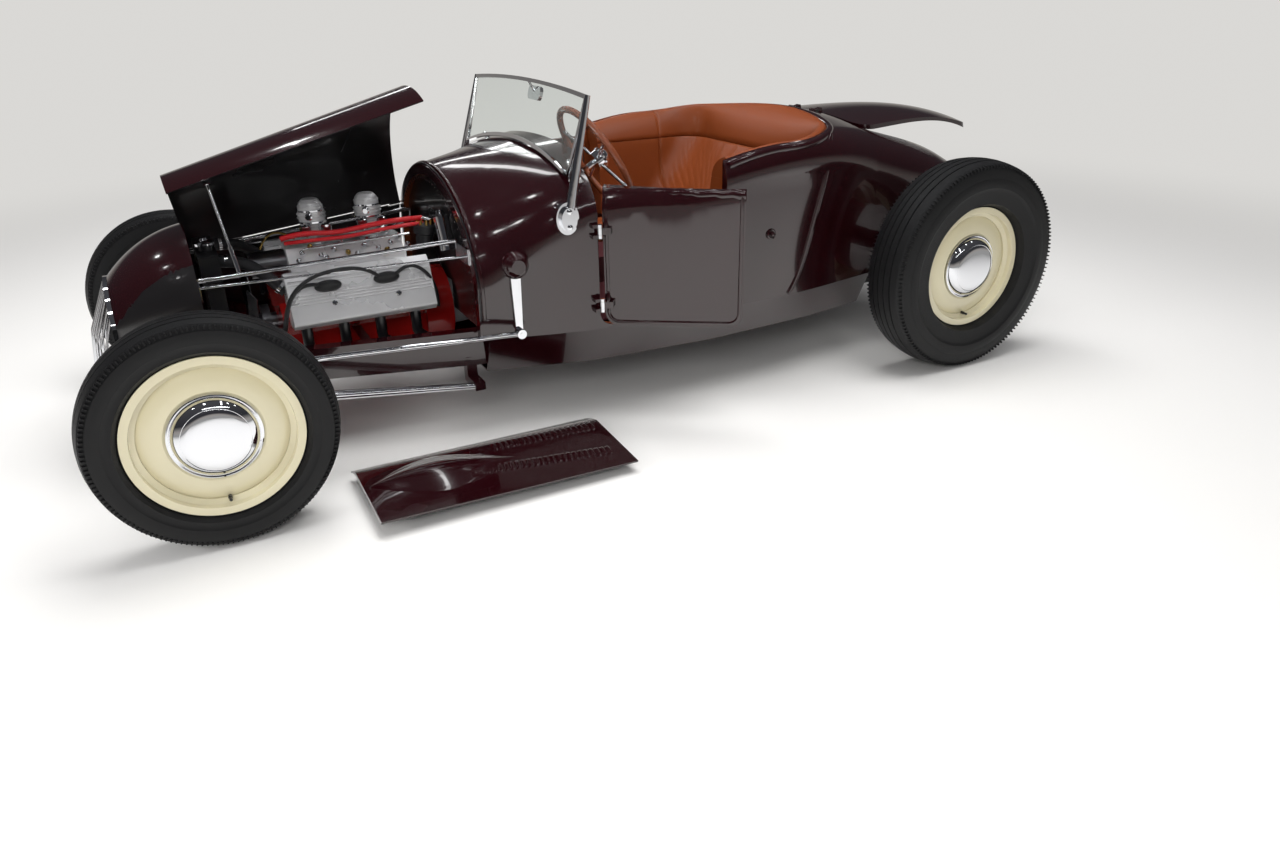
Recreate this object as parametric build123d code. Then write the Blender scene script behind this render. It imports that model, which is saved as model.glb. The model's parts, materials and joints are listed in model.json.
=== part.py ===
from build123d import *
import os
from math import atan2, cos, degrees, radians, sin

os.makedirs("parts", exist_ok=True)

# Street rod roadster. Millimetres. +X is the car's left, -Y its nose, +Z up, the floor is z = 0.
# The car is drawn about its centre line and mid wheelbase; save() then moves it to its box's middle.

# Driving dimensions
wheelbase = 2620.0
front_track = 1414.0
rear_track = 1432.0
front_tyre_radius = 318.0
front_tyre_width = 150.0
rear_tyre_radius = 387.0
rear_tyre_width = 192.0
rim_radius = 221.0
rim_seat_radius = 204.0
rim_half_width = 58.0
body_wall = 35.0
deck_wall = 15.0
sheet = 4.0
panel_gap = 5.0
seat_clearance = 0.3
pin_clearance = 0.05

front_axle_y = -wheelbase / 2
rear_axle_y = wheelbase / 2

# Lengthwise joints of the body
nose_back_y = -1262.0
hoop_y = -490.0
door_front_y = -108.0
door_length = 456.0
door_back_y = door_front_y + door_length
door_bottom_z = 346.0
door_top_z = 786.0
deck_front_y = 1062.0
tail_y = 1800.0
body_foot_z = 332.0
belly_z = 200.0

# Body stations: y, crown z, shoulder x, shoulder z, side x, side z, foot x
body_stations = [
    (hoop_y, 820.0, 330.0, 716.0, 464.0, 505.0, 450.0),
    (-300.0, 853.0, 378.0, 785.0, 512.0, 612.0, 500.0),
    (-105.0, 880.0, 415.0, 842.0, 550.0, 715.0, 540.0),
    (345.0, 905.0, 485.0, 868.0, 582.0, 745.0, 562.0),
    (800.0, 915.0, 468.0, 888.0, 562.0, 750.0, 532.0),
    (deck_front_y, 900.0, 365.0, 862.0, 498.0, 690.0, 480.0),
    (1330.0, 832.0, 320.0, 790.0, 450.0, 620.0, 438.0),
    (1580.0, 745.0, 285.0, 700.0, 405.0, 520.0, 395.0),
    (tail_y, 610.0, 230.0, 566.0, 335.0, 430.0, 325.0),
]


def across(y):
    """A plane across the car at y: its x is the car's x, its y is the car's z."""
    return Plane(origin=(0, y, 0), x_dir=(1, 0, 0), z_dir=(0, -1, 0))


def arch_face(y, crown_z, shoulder, side, foot):
    """Closed section at y: crown arc, shoulder arc tangent to it, straight flank, flat foot."""
    crown = TangentArc((0, crown_z), shoulder, tangent=(1, 0))
    bend = TangentArc(shoulder, side, tangent=crown % 1)
    flank = Line(side, foot)
    half = [crown, bend, flank]
    other = [edge.mirror(Plane.YZ) for edge in half]
    base = Line(foot, (-foot[0], foot[1]))
    return across(y).location * Face(Wire(half + [base] + other))


def inset_arch(y, crown_z, shoulder, side, foot, wall, drop):
    """The same section inside a wall, with its foot dropped so that it cuts through the bottom."""
    crown = TangentArc((0, crown_z), shoulder, tangent=(1, 0))
    lean = atan2(-(crown % 1).Y, (crown % 1).X)
    inner_shoulder = (shoulder[0] - wall * sin(lean), shoulder[1] - wall * cos(lean))
    inner_side = (side[0] - wall, side[1] - wall / 4)
    inner_foot = (foot[0] - wall, foot[1] - drop)
    return arch_face(y, crown_z - wall, inner_shoulder, inner_side, inner_foot)


def body_form(stations, wall=0.0, drop=0.0, start=None, end=None):
    """Solid through the stations, taken in by a wall; start and end move its two faces."""
    faces = []
    for index, (y, crown_z, sx, sz, wx, wz, fx) in enumerate(stations):
        if index == 0 and start is not None:
            y = start
        if index == len(stations) - 1 and end is not None:
            y = end
        args = (y, crown_z, (sx, sz), (wx, wz), (fx, body_foot_z))
        faces.append(inset_arch(*args, wall, drop) if wall else arch_face(*args))
    return loft(faces)


def slab(x0, x1, y0, y1, z0, z1):
    """Box between two corners."""
    size = (x1 - x0, y1 - y0, z1 - z0)
    centre = ((x0 + x1) / 2, (y0 + y1) / 2, (z0 + z1) / 2)
    return Pos(*centre) * Box(*size)


def both_sides(shape):
    """A shape and its mirror image across the car's centre line."""
    return [shape, shape.mirror(Plane.YZ)]


def rod(start, end, radius, end_radius=None):
    """Round bar between two points, tapered if a second radius is given."""
    a = Vector(*start)
    b = Vector(*end)
    plane = Plane(origin=a, z_dir=b - a)
    length = (b - a).length
    first = plane.location * Face(Wire(Circle(radius).edges()))
    if end_radius is None:
        return extrude(first, length, dir=(b - a).normalized())
    last = Plane(origin=b, z_dir=b - a).location * Face(Wire(Circle(end_radius).edges()))
    return loft([first, last], ruled=True)


def bent_tube(points, radius, bend):
    """Round tube along a path whose corners are arcs."""
    path = FilletPolyline(*points, radius=bend)
    start = Plane(origin=path @ 0, z_dir=path % 0)
    return sweep(start.location * Circle(radius), path=path)


def prism_across(points, y0, y1):
    """Polygon of (x, z) points, from y0 to y1."""
    face = Face(Wire(Polyline(*points, close=True).edges()))
    return extrude(across(y0).location * face, y1 - y0, dir=(0, 1, 0))


def prism_side(points, x0, x1):
    """Polygon of (y, z) points, from x0 to x1."""
    plane = Plane(origin=(x0, 0, 0), x_dir=(0, 1, 0), z_dir=(1, 0, 0))
    face = Face(Wire(Polyline(*points, close=True).edges()))
    return extrude(plane.location * face, x1 - x0, dir=(1, 0, 0))


def prism_down(points, z0, z1):
    """Polygon of (x, y) points, from z0 to z1."""
    face = Face(Wire(Polyline(*points, close=True).edges()))
    return extrude(Pos(0, 0, z0) * face, z1 - z0, dir=(0, 0, 1))


def bar(sections):
    """Straight-sided bar through rectangles: y, centre x, centre z, width, height."""
    faces = []
    for y, cx, cz, width, height in sections:
        faces.append(across(y).location * (Pos(cx, cz) * Rectangle(width, height)).face())
    return loft(faces, ruled=True)


# The hood panel that lies taken off beside the car sets the box's left side
panel_front_y = -970.0
panel_inner_x = 510.0

pieces = {}


def add(name, *shapes):
    """Keep a node's solids under its name."""
    solids = []
    for shape in shapes:
        solids.extend(shape.solids())
    pieces[name] = Compound(solids) if len(solids) > 1 else solids[0]


# Body form, its hollow and the cockpit's plan
outer = body_form(body_stations)
inner = body_form(body_stations, body_wall, 60.0, hoop_y - 5.0, tail_y + 5.0)
deck_stations = body_stations[5:]
deck_outer = body_form(deck_stations)
deck_inner = body_form(deck_stations, deck_wall, 60.0, deck_front_y - 5.0, tail_y - deck_wall)

cockpit_front_y = -62.0
cockpit_front_x = 474.0
cockpit_side_x = 552.0
cockpit_side_front_y = 340.0
cockpit_side_back_y = 617.0
cockpit_corner_x = 380.0
cockpit_corner_y = 895.0
cockpit_back_y = 985.0


def cockpit_plan(grow=0.0):
    """Plan outline of the cockpit opening, grown outwards."""
    back = (0, cockpit_back_y + grow)
    corner = (cockpit_corner_x + 0.6 * grow, cockpit_corner_y + 0.8 * grow)
    widest = (cockpit_side_x + grow, cockpit_side_back_y)
    side = (cockpit_side_x + grow, cockpit_side_front_y)
    front = (cockpit_front_x + grow, cockpit_front_y - grow)
    rear_arc = TangentArc(back, corner, tangent=(1, 0))
    corner_arc = TangentArc(corner, widest, tangent=rear_arc % 1)
    side_arc = TangentArc(side, front, tangent=(0, -1))
    half = [rear_arc, corner_arc, Line(widest, side), side_arc]
    other = [edge.mirror(Plane.YZ) for edge in half]
    return Face(Wire(half + [Line(front, (-front[0], front[1]))] + other))


cockpit_cut = extrude(Pos(0, 0, 500) * cockpit_plan(), 600, dir=(0, 0, 1))
shell = outer - inner - cockpit_cut

# Doors, cut from the same shell, with rounded lower corners
door_corner = 42.0


def door_window(grow):
    """Side outline of a door, grown for the opening that it leaves."""
    width = door_length - 2 * panel_gap + 2 * grow
    height = door_top_z - door_bottom_z + 300.0 + grow
    centre_y = (door_front_y + door_back_y) / 2
    plane = Plane(origin=(300, 0, 0), x_dir=(0, 1, 0), z_dir=(1, 0, 0))
    rect = Pos(centre_y, door_bottom_z - grow + height / 2) * Rectangle(width, height)
    lower = [v for v in rect.vertices() if v.Y < door_bottom_z + 10]
    return extrude(plane.location * fillet(lower, door_corner + grow).face(), 400, dir=(1, 0, 0))


door_opening = door_window(panel_gap)
door_slab = door_window(0.0)
above_door = slab(-700, 700, door_front_y, door_back_y, door_top_z, 1200)
door_left_closed = (shell & door_slab) - above_door
door_hinge_x = 566.0
door_hinge_y = door_front_y - 2.0
door_open_deg = 32.0


def turned(shape, origin, direction, angle):
    """Shape turned about an axis by an angle in degrees."""
    return shape.rotate(Axis(origin, direction), angle)


door_axis_left = ((door_hinge_x, door_hinge_y, 0), (0, 0, -1))
door_hinge_heights = (420.0, 660.0)
door_barrel = 8.0
door_pin = 4.0
door_leaf = 11.0
cowl_hinges = []
for z in door_hinge_heights:
    leaf = slab(554, door_hinge_x, door_hinge_y, door_hinge_y + 34, z - door_leaf, z + door_leaf)
    leaf = leaf + slab(535, 560, door_hinge_y + 12, door_hinge_y + 34, z - door_leaf, z + door_leaf)
    leaf = leaf + Pos(door_hinge_x, door_hinge_y, z) * Cylinder(door_barrel, 2 * door_leaf)
    door_left_closed = door_left_closed + leaf
    door_left_closed = door_left_closed - Pos(door_hinge_x, door_hinge_y, z) * Cylinder(
        door_pin + pin_clearance, 4 * door_leaf
    )
    hinge = Pos(door_hinge_x, door_hinge_y, z) * Cylinder(door_pin, 3 * door_leaf)
    for low in (z - 2 * door_leaf, z + door_leaf + seat_clearance):
        high = low + door_leaf - seat_clearance
        ear = slab(535, door_hinge_x, door_hinge_y - 24, door_hinge_y - 3, low, high)
        ear = ear + Pos(door_hinge_x, door_hinge_y, (low + high) / 2) * Cylinder(door_barrel, high - low)
        hinge = hinge + ear
    cowl_hinges.extend(both_sides(hinge))
door_left = turned(door_left_closed, *door_axis_left, door_open_deg)
add("door_left", door_left)
add("door_right", door_left_closed.mirror(Plane.YZ))

# Cowl and tub, the shell in front of and behind the doors
door_holes = door_opening + door_opening.mirror(Plane.YZ)
split_y = door_front_y + door_length / 2
cowl = (shell - door_holes) & slab(-800, 800, hoop_y - 1, split_y, 0, 1200)
tub = (shell - door_holes) & slab(-800, 800, split_y, deck_front_y, 0, 1200)
for hinge in cowl_hinges:
    cowl = cowl + hinge
add("cowl", cowl)
add("tub", tub)

# Turtle deck with its opening, and the lid that fills it, raised at the rear
lid_front_y = deck_front_y + 23.0
lid_back_y = tail_y - 65.0
lid_front_x = 345.0
lid_back_x = 215.0
lid_open_deg = 15.0
lid_corner = 60.0


def lid_plan(grow):
    """Plan outline of the deck lid."""
    points = [
        (-lid_front_x - grow, lid_front_y - grow),
        (lid_front_x + grow, lid_front_y - grow),
        (lid_back_x + grow, lid_back_y + grow),
        (-lid_back_x - grow, lid_back_y + grow),
    ]
    face = Face(Wire(Polyline(*points, close=True).edges()))
    return fillet(face.vertices(), lid_corner + grow).face()


lid_cut = extrude(Pos(0, 0, 560) * lid_plan(panel_gap), 500, dir=(0, 0, 1))
lid_slab = extrude(Pos(0, 0, 560) * lid_plan(0.0), 500, dir=(0, 0, 1))
deck_shell = deck_outer - deck_inner
axle_arch_radius = 150.0


def axle_arch(centre_y, centre_z, radius, half_width):
    """Upright slot with a round top, right across the car."""
    top = ThreePointArc((centre_y - radius, centre_z), (centre_y, centre_z + radius), (centre_y + radius, centre_z))
    right = Line((centre_y + radius, centre_z), (centre_y + radius, 150))
    foot = Line((centre_y + radius, 150), (centre_y - radius, 150))
    left = Line((centre_y - radius, 150), (centre_y - radius, centre_z))
    plane = Plane(origin=(-half_width, 0, 0), x_dir=(0, 1, 0), z_dir=(1, 0, 0))
    return extrude(plane.location * Face(Wire([top, right, foot, left])), 2 * half_width, dir=(1, 0, 0))


arch = axle_arch(rear_axle_y, rear_tyre_radius, axle_arch_radius, 700)
lid_hinge_y = lid_front_y - 3.0
lid_hinge_z = 898.0
lid_axis = ((0, lid_hinge_y, lid_hinge_z), (1, 0, 0))
lid_closed = (deck_outer & lid_slab) - deck_inner
turtle_deck = deck_shell - lid_cut - arch
lid_barrel = 6.0
lid_pin = 2.5


def across_lid_hinge(x0, x1, radius):
    """Round bar on the lid's hinge line."""
    return rod((x0, lid_hinge_y, lid_hinge_z), (x1, lid_hinge_y, lid_hinge_z), radius)


for x in (-70.0, 70.0):
    lid_closed = lid_closed - across_lid_hinge(x - 26, x + 26, lid_barrel + 3)
    turtle_deck = turtle_deck - across_lid_hinge(x - 15, x + 15, lid_barrel + 3)
    leaf = slab(x - 14, x + 14, lid_hinge_y + 2, lid_hinge_y + 30, 884, lid_hinge_z)
    lid_closed = lid_closed + leaf + across_lid_hinge(x - 14, x + 14, lid_barrel)
    lid_closed = lid_closed - across_lid_hinge(x - 20, x + 20, lid_pin + pin_clearance)
    turtle_deck = turtle_deck + across_lid_hinge(x - 22, x + 22, lid_pin)
    for low in (x - 24, x + 14 + seat_clearance):
        ear = slab(low, low + 9.7, lid_hinge_y - 20, lid_hinge_y - 1, 886, lid_hinge_z)
        turtle_deck = turtle_deck + ear + across_lid_hinge(low, low + 9.7, lid_barrel)
add("turtle_deck", turtle_deck)
add("deck_lid", turned(lid_closed, *lid_axis, lid_open_deg))

# Belly pan: sloping sides from the body's foot in to a flat bottom
belly_inset = 62.0
belly_front_y = hoop_y + 30.0
belly_back_y = 1080.0
belly_wall = 5.0
belly_stations = [
    (belly_front_y, 450.0),
    (-105.0, 540.0),
    (345.0, 562.0),
    (800.0, 532.0),
    (belly_back_y, 478.0),
]


def belly_form(wall, rise, extra):
    """Tray section lofted along the body's foot."""
    faces = []
    last = len(belly_stations) - 1
    for index, (y, foot_x) in enumerate(belly_stations):
        if index == 0:
            y = y - extra
        if index == last:
            y = y + extra
        points = [
            (-foot_x + wall, body_foot_z - seat_clearance + extra),
            (foot_x - wall, body_foot_z - seat_clearance + extra),
            (foot_x - belly_inset - wall, belly_z + rise),
            (-foot_x + belly_inset + wall, belly_z + rise),
        ]
        faces.append(across(y).location * Face(Wire(Polyline(*points, close=True).edges())))
    return loft(faces, ruled=True)


add("belly_pan", belly_form(0, 0, 0) - belly_form(belly_wall, belly_wall, 1.0))

# Firewall, floor and trunk floor
firewall_y = hoop_y + 22.0
firewall_form = inner & slab(-800, 800, firewall_y, firewall_y + sheet, body_foot_z + 15, 1200)
floor_z = 346.0
trunk_floor_z = 585.0
riser_y = 940.0
trunk_back_y = tail_y - 180.0
add("firewall", firewall_form)
floor_points = [(y, fx - body_wall - 0.5) for (y, cz, sx, sz, wx, wz, fx) in body_stations[:6]]
floor_points[0] = (firewall_y + sheet + seat_clearance, floor_points[0][1])
floor_points[-1] = (riser_y + sheet, 462.0)
outline = [(x, y) for y, x in floor_points] + [(-x, y) for y, x in reversed(floor_points)]
floor_sheet = prism_down(outline, floor_z, floor_z + sheet)
riser = slab(-460, 460, riser_y, riser_y + sheet, floor_z, trunk_floor_z + sheet)
trunk_outline = [(460, riser_y), (430, 1250), (345, trunk_back_y)]
trunk_outline = trunk_outline + [(-x, y) for x, y in reversed(trunk_outline)]
trunk_sheet = prism_down(trunk_outline, trunk_floor_z, trunk_floor_z + sheet)
add("floor_pan", floor_sheet + riser + trunk_sheet)

# Frame rails and crossmembers: y, centre x, centre z, width, height
rail_back_y = tail_y - 240.0
rail_sections = [
    (-1420.0, 182.0, 392.0, 42.0, 78.0),
    (nose_back_y, 226.0, 392.0, 42.0, 84.0),
    (-1080.0, 276.0, 305.0, 45.0, 100.0),
    (hoop_y, 368.0, 287.85, 45.0, 115.7),
    (960.0, 368.0, 287.85, 45.0, 115.7),
    (1120.0, 370.0, 525.0, 45.0, 90.0),
    (rail_back_y, 340.0, 525.0, 45.0, 80.0),
]
rails = both_sides(bar(rail_sections))
cross_members = [
    slab(-205, 205, -1340, -1280, 343.6, 400),
    slab(-368, 368, -150, -90, 232, 279),
    slab(-368, 368, 880, 930, 236, 300),
    slab(-365, 365, 1260, 1330, 510, 565),
    slab(-345, 345, rail_back_y - 40, rail_back_y, 505, 545),
]
for x in (113.6, -113.6):
    outward = 300.0 if x > 0 else -300.0
    cross_members.append(slab(min(x, outward), max(x, outward), -830, -800, 330, 343))
frame = rails[0] + rails[1]
for member in cross_members:
    frame = frame + member
add("frame", frame)

# Nose stations: y, crown z, shoulder x, shoulder z, side x, side z, foot x, foot z
nose_stations = [
    (nose_back_y, 716.0, 165.0, 672.0, 268.0, 520.0, 268.0, 250.0),
    (-1400.0, 668.0, 140.0, 630.0, 232.0, 500.0, 226.0, 250.0),
    (-1500.0, 585.0, 105.0, 556.0, 178.0, 470.0, 170.0, 250.0),
]
nose_wall = 8.0


def nose_form(wall, start, drop):
    """Nose solid through its stations, taken in by a wall."""
    faces = []
    for index, (y, crown_z, sx, sz, wx, wz, fx, fz) in enumerate(nose_stations):
        if index == 0:
            y = y + start
        if index == 2:
            y = y - start
        if wall:
            faces.append(inset_arch(y, crown_z, (sx, sz), (wx, wz), (fx, fz), wall, drop))
        else:
            faces.append(arch_face(y, crown_z, (sx, sz), (wx, wz), (fx, fz)))
    return loft(faces)


axle_notch = slab(-400, 400, front_axle_y - 60, front_axle_y + 60, 100, 335)
nose = nose_form(0, 0, 0) - nose_form(nose_wall, 1.0, 40.0) - axle_notch
for bracket in both_sides(slab(205, 254, -1310, -1290, 433.7, 439)):
    nose = nose + bracket

# Grille: a frame and upright bars, curved down and forward
grille_bars = 13
grille_half_width = 150.0
grille_bulge = 85.0
surround = 12.0
grille_back_y = nose_stations[-1][0] - seat_clearance
grille_front_y = grille_back_y - surround
(end_y, end_crown, end_sx, end_sz, end_wx, end_wz, end_fx, end_fz) = nose_stations[-1]
surround_face = arch_face(grille_back_y, end_crown, (end_sx, end_sz), (end_wx, end_wz), (end_fx, end_fz))
hole_face = inset_arch(
    grille_back_y, end_crown, (end_sx, end_sz), (end_wx, end_wz), (end_fx, end_fz), surround, -surround
)
grille = extrude(surround_face - hole_face, surround, dir=(0, -1, 0))
crown_radius = (end_sx ** 2 + (end_crown - end_sz) ** 2) / (2 * (end_crown - end_sz))
for index in range(grille_bars):
    share = index / (grille_bars - 1) * 2 - 1
    x = share * grille_half_width
    if abs(x) < end_sx:
        top_z = end_crown - crown_radius + (crown_radius ** 2 - x ** 2) ** 0.5 - surround / 2
    else:
        top_z = end_sz - (abs(x) - end_sx) * (end_sz - end_wz) / (end_wx - end_sx) - surround / 4
    bulge = grille_bulge * (1 - 0.4 * share * share)
    points = [
        (x, grille_front_y + 4, top_z),
        (x, grille_front_y - 0.75 * bulge, top_z - 0.45 * (top_z - end_fz)),
        (x, grille_front_y - bulge, end_fz + 40),
        (x, grille_front_y + 4, end_fz + surround / 2),
    ]
    grille = grille + bent_tube(points, 3.5, 34.0)
add("grille", grille)

# Hood: sheet between the nose and the hoop, parted along a line at each side
part_front_z = 583.0
part_rear_z = 630.0
hood_front_y = nose_back_y + panel_gap
hood_back_y = hoop_y - panel_gap
hood_sheet = 6.0
nose_back = nose_stations[0]
hood_foot_z = belly_z


def hood_face(y, wall):
    """Section of the hood at y, between the nose's back edge and the hoop."""
    share = (y - nose_back_y) / (hoop_y - nose_back_y)
    hoop = body_stations[0]
    values = []
    for a, b in zip(nose_back[1:7], hoop[1:7]):
        values.append(a + (b - a) * share)
    crown_z, sx, sz, wx, wz, fx = values
    if wall:
        return inset_arch(y, crown_z, (sx, sz), (wx, wz), (fx, hood_foot_z), wall, 20.0)
    return arch_face(y, crown_z, (sx, sz), (wx, wz), (fx, hood_foot_z))


hood_outer = loft([hood_face(hood_front_y, 0), hood_face(hood_back_y, 0)])
hood_inner = loft([hood_face(hood_front_y - 1, hood_sheet), hood_face(hood_back_y + 1, hood_sheet)])
hood_shell = hood_outer - hood_inner
parting = [
    (hood_front_y - 20, part_front_z),
    (hood_back_y + 20, part_rear_z),
    (hood_back_y + 20, 1000.0),
    (hood_front_y - 20, 1000.0),
]
above_parting = prism_side(parting, -700, 700)
hood_closed = hood_shell & above_parting
hood_hinge_front = (-248.0, nose_back_y, part_front_z)
hood_hinge_back = (-413.5, hoop_y, part_rear_z)
hood_axis_vector = tuple(b - a for a, b in zip(hood_hinge_front, hood_hinge_back))
hood_open_deg = 32.0
hinge_pin = 2.5
hinge_barrel = 6.0


def along_hood_hinge(start_y, end_y, radius):
    """Round bar on the hood's hinge line between two distances along the car."""
    ends = []
    for y in (start_y, end_y):
        share = (y - nose_back_y) / (hoop_y - nose_back_y)
        ends.append(tuple(a + (b - a) * share for a, b in zip(hood_hinge_front, hood_hinge_back)))
    return rod(ends[0], ends[1], radius)


hood_knuckles = [(nose_back_y + 6, nose_back_y + 46), (hoop_y - 46, hoop_y - 6)]
for start_y, end_y in hood_knuckles:
    hood_closed = hood_closed + along_hood_hinge(start_y, end_y, hinge_barrel)
for start_y, end_y in hood_knuckles:
    hood_closed = hood_closed - along_hood_hinge(start_y - 2, end_y + 2, hinge_pin + pin_clearance)
nose = nose + along_hood_hinge(nose_back_y - 10, nose_back_y + 40, hinge_pin)
add("nose_shell", nose)
pieces["cowl"] = pieces["cowl"] + along_hood_hinge(hoop_y - 40, hoop_y + 10, hinge_pin)
hood_top = turned(hood_closed, hood_hinge_front, hood_axis_vector, -hood_open_deg)
add("hood_top", hood_top)

# Prop that holds the hood up: hung from a tab inside it, its sleeve beside the stay
prop_top = (189.0, -1142.8, 613.0)
prop_foot = (136.3, -1141.6, 343.2)
prop_lining = loft([hood_face(y, hood_sheet + seat_clearance) for y in (hood_front_y - 1, hood_back_y + 1)])
sleeve_top = tuple(foot + 0.3 * (top - foot) for foot, top in zip(prop_foot, prop_top))
prop = rod(prop_foot, prop_top, 4.0) + rod(prop_foot, sleeve_top, 6.5)
prop_tab = slab(
    prop_top[0] - 7, prop_top[0] + 7, prop_top[1] - 10, prop_top[1] + 10, prop_top[2] - 6, part_front_z + 150
)
prop = prop + (prop_tab & prop_lining)
add("hood_prop", turned(prop, hood_hinge_front, hood_axis_vector, -hood_open_deg))

side_gap = 4.0
below_parting = Pos(0, 0, -side_gap) * prism_side(
    [
        (hood_front_y - 20, part_front_z),
        (hood_back_y + 20, part_rear_z),
        (hood_back_y + 20, 100.0),
        (hood_front_y - 20, 100.0),
    ],
    -700,
    0,
)
hood_side = hood_shell & below_parting
fitted_side = hood_side + slab(-267, -263, nose_back_y + seat_clearance, nose_back_y + 14, 300, 330)
fitted_side = fitted_side + slab(-455, -446, hoop_y - 14, hoop_y - seat_clearance, 350, 380)
for start_y, end_y in hood_knuckles:
    fitted_side = fitted_side - along_hood_hinge(start_y - 6, end_y + 6, hinge_barrel + 5)
add("hood_side_right", fitted_side)

# The left hood side lies taken off on the floor, its outer face up
hood_taper = degrees(atan2(464.0 - 268.0, hoop_y - nose_back_y))
loose = hood_side.mirror(Plane.YZ)
loose = loose.rotate(Axis((0, 0, 0), (0, 0, 1)), hood_taper)
loose = loose.rotate(Axis((0, 0, 0), (0, 1, 0)), -90.0)
box = loose.bounding_box()
loose = Pos(panel_inner_x - box.min.X, panel_front_y - box.min.Y, -box.min.Z) * loose
add("hood_side_left", loose)

# Hood stays: bright bars from the nose to the cowl at each side
stay_radius = 7.0
stay_front_x = 215.0
stay_back_x = 290.0
stay_front_z = 588.0
stay_back_z = 624.0
thin_stay_radius = 4.0
thin_stay_front = (236.0, 572.0)
thin_stay_back = (333.0, 580.0)
stay = rod(
    (stay_front_x, nose_back_y + 1, stay_front_z), (stay_back_x, hoop_y - 1, stay_back_z), stay_radius
)
stay = stay + rod(
    (thin_stay_front[0], nose_back_y + 1, thin_stay_front[1]),
    (thin_stay_back[0], hoop_y - 1, thin_stay_back[1]),
    thin_stay_radius,
)
front_tab = slab(
    stay_front_x - 8, stay_front_x + 43, nose_back_y + 0.3, nose_back_y + 4.3, stay_front_z - 56, stay_front_z - 8
)
front_tab = front_tab + slab(
    stay_front_x - 8, stay_front_x + 8, nose_back_y + 0.3, nose_back_y + 4.3, stay_front_z - 56, stay_front_z + 8
)
back_tab = slab(
    stay_back_x - 8, stay_back_x + 120, hoop_y - 4.3, hoop_y - 0.3, stay_back_z - 54, stay_back_z - 4
)
stay = stay + front_tab + back_tab - slab(0, 500, hoop_y - 0.3, hoop_y + 10, 500, 700)
stay = stay - slab(0, 500, nose_back_y - 10, nose_back_y + 0.3, 500, 700)
add("hood_stays", *both_sides(stay))

# Windshield: a leaning plane across the cowl
glass_lean = 0.28
glass_foot_y = -160.0
glass_foot_z = 874.0
lean_deg = degrees(atan2(glass_lean, 1.0))
glass_plane = Plane(
    origin=(0, glass_foot_y, glass_foot_z),
    x_dir=(1, 0, 0),
    z_dir=(0, -cos(radians(lean_deg)), sin(radians(lean_deg))),
)
glass_top = 212.0
glass_corner_top = 192.0
glass_half_top = 516.0
glass_half_foot = 500.0
glass_side_foot = -60.0
frame_band = 12.0
frame_depth = 14.0
glass_thickness = 5.0


def screen_face(grow):
    """Outline of the windshield in its own plane."""
    top = ThreePointArc(
        (-glass_half_top - grow, glass_corner_top + grow),
        (0, glass_top + grow),
        (glass_half_top + grow, glass_corner_top + grow),
    )
    right = Line((glass_half_top + grow, glass_corner_top + grow), (glass_half_foot + grow, glass_side_foot - grow))
    foot = ThreePointArc(
        (glass_half_foot + grow, glass_side_foot - grow),
        (0, 6.0 - grow),
        (-glass_half_foot - grow, glass_side_foot - grow),
    )
    left = Line((-glass_half_foot - grow, glass_side_foot - grow), (-glass_half_top - grow, glass_corner_top + grow))
    return Face(Wire([top, right, foot, left]))


band = screen_face(0) - screen_face(-frame_band)
band_solid = extrude(glass_plane.location * band.face(), frame_depth / 2, both=True)
posts = None
for side in (1, -1):
    top_point = glass_plane.from_local_coords(Vector(side * (glass_half_top - 4), glass_corner_top, 0))
    low_point = Vector(side * 540.0, -205.0, 690.0)
    along_post = (low_point - top_point).normalized()
    sections = []
    for point, half_x, half_y in ((top_point, 9.0, 9.0), (low_point, 12.0, 18.0)):
        section_plane = Plane(origin=tuple(point), x_dir=(1, 0, 0), z_dir=tuple(along_post))
        sections.append(section_plane.location * Ellipse(half_x, half_y).face())
    post = loft(sections)
    for outer_x, half_y, half_z in ((540.0, 38.0, 50.0), (556.0, 26.0, 36.0)):
        boss_plane = Plane(origin=(side * 480.0, -205.0, 706.0), x_dir=(0, 1, 0), z_dir=(side, 0, 0))
        post = post + extrude(boss_plane.location * Ellipse(half_y, half_z).face(), outer_x - 480.0)
    posts = post if posts is None else posts + post
windshield = band_solid + posts
windshield = windshield - outer
add("windshield_frame", windshield.solids().sort_by(SortBy.VOLUME)[-1])
glass = extrude(
    glass_plane.location * screen_face(-frame_band - seat_clearance).face(), glass_thickness / 2, both=True
)
add("windshield_glass", (glass - outer).solids().sort_by(SortBy.VOLUME)[-1])

# Mirror behind the top of the frame
pad_depth = 4.0
mirror_pad = Pos(0, 206, -frame_depth / 2 - seat_clearance - pad_depth / 2) * Box(24, 9, pad_depth)
mirror_head = Pos(0, 170, -46) * extrude(RectangleRounded(108, 46, 18), 6, both=True)
mirror = glass_plane.location * (mirror_pad + mirror_head)
stem_ends = [glass_plane.from_local_coords(Vector(0, y, z)) for y, z in ((206, -10), (174, -44))]
add("mirror", mirror + rod(tuple(stem_ends[0]), tuple(stem_ends[1]), 4.0))

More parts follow.
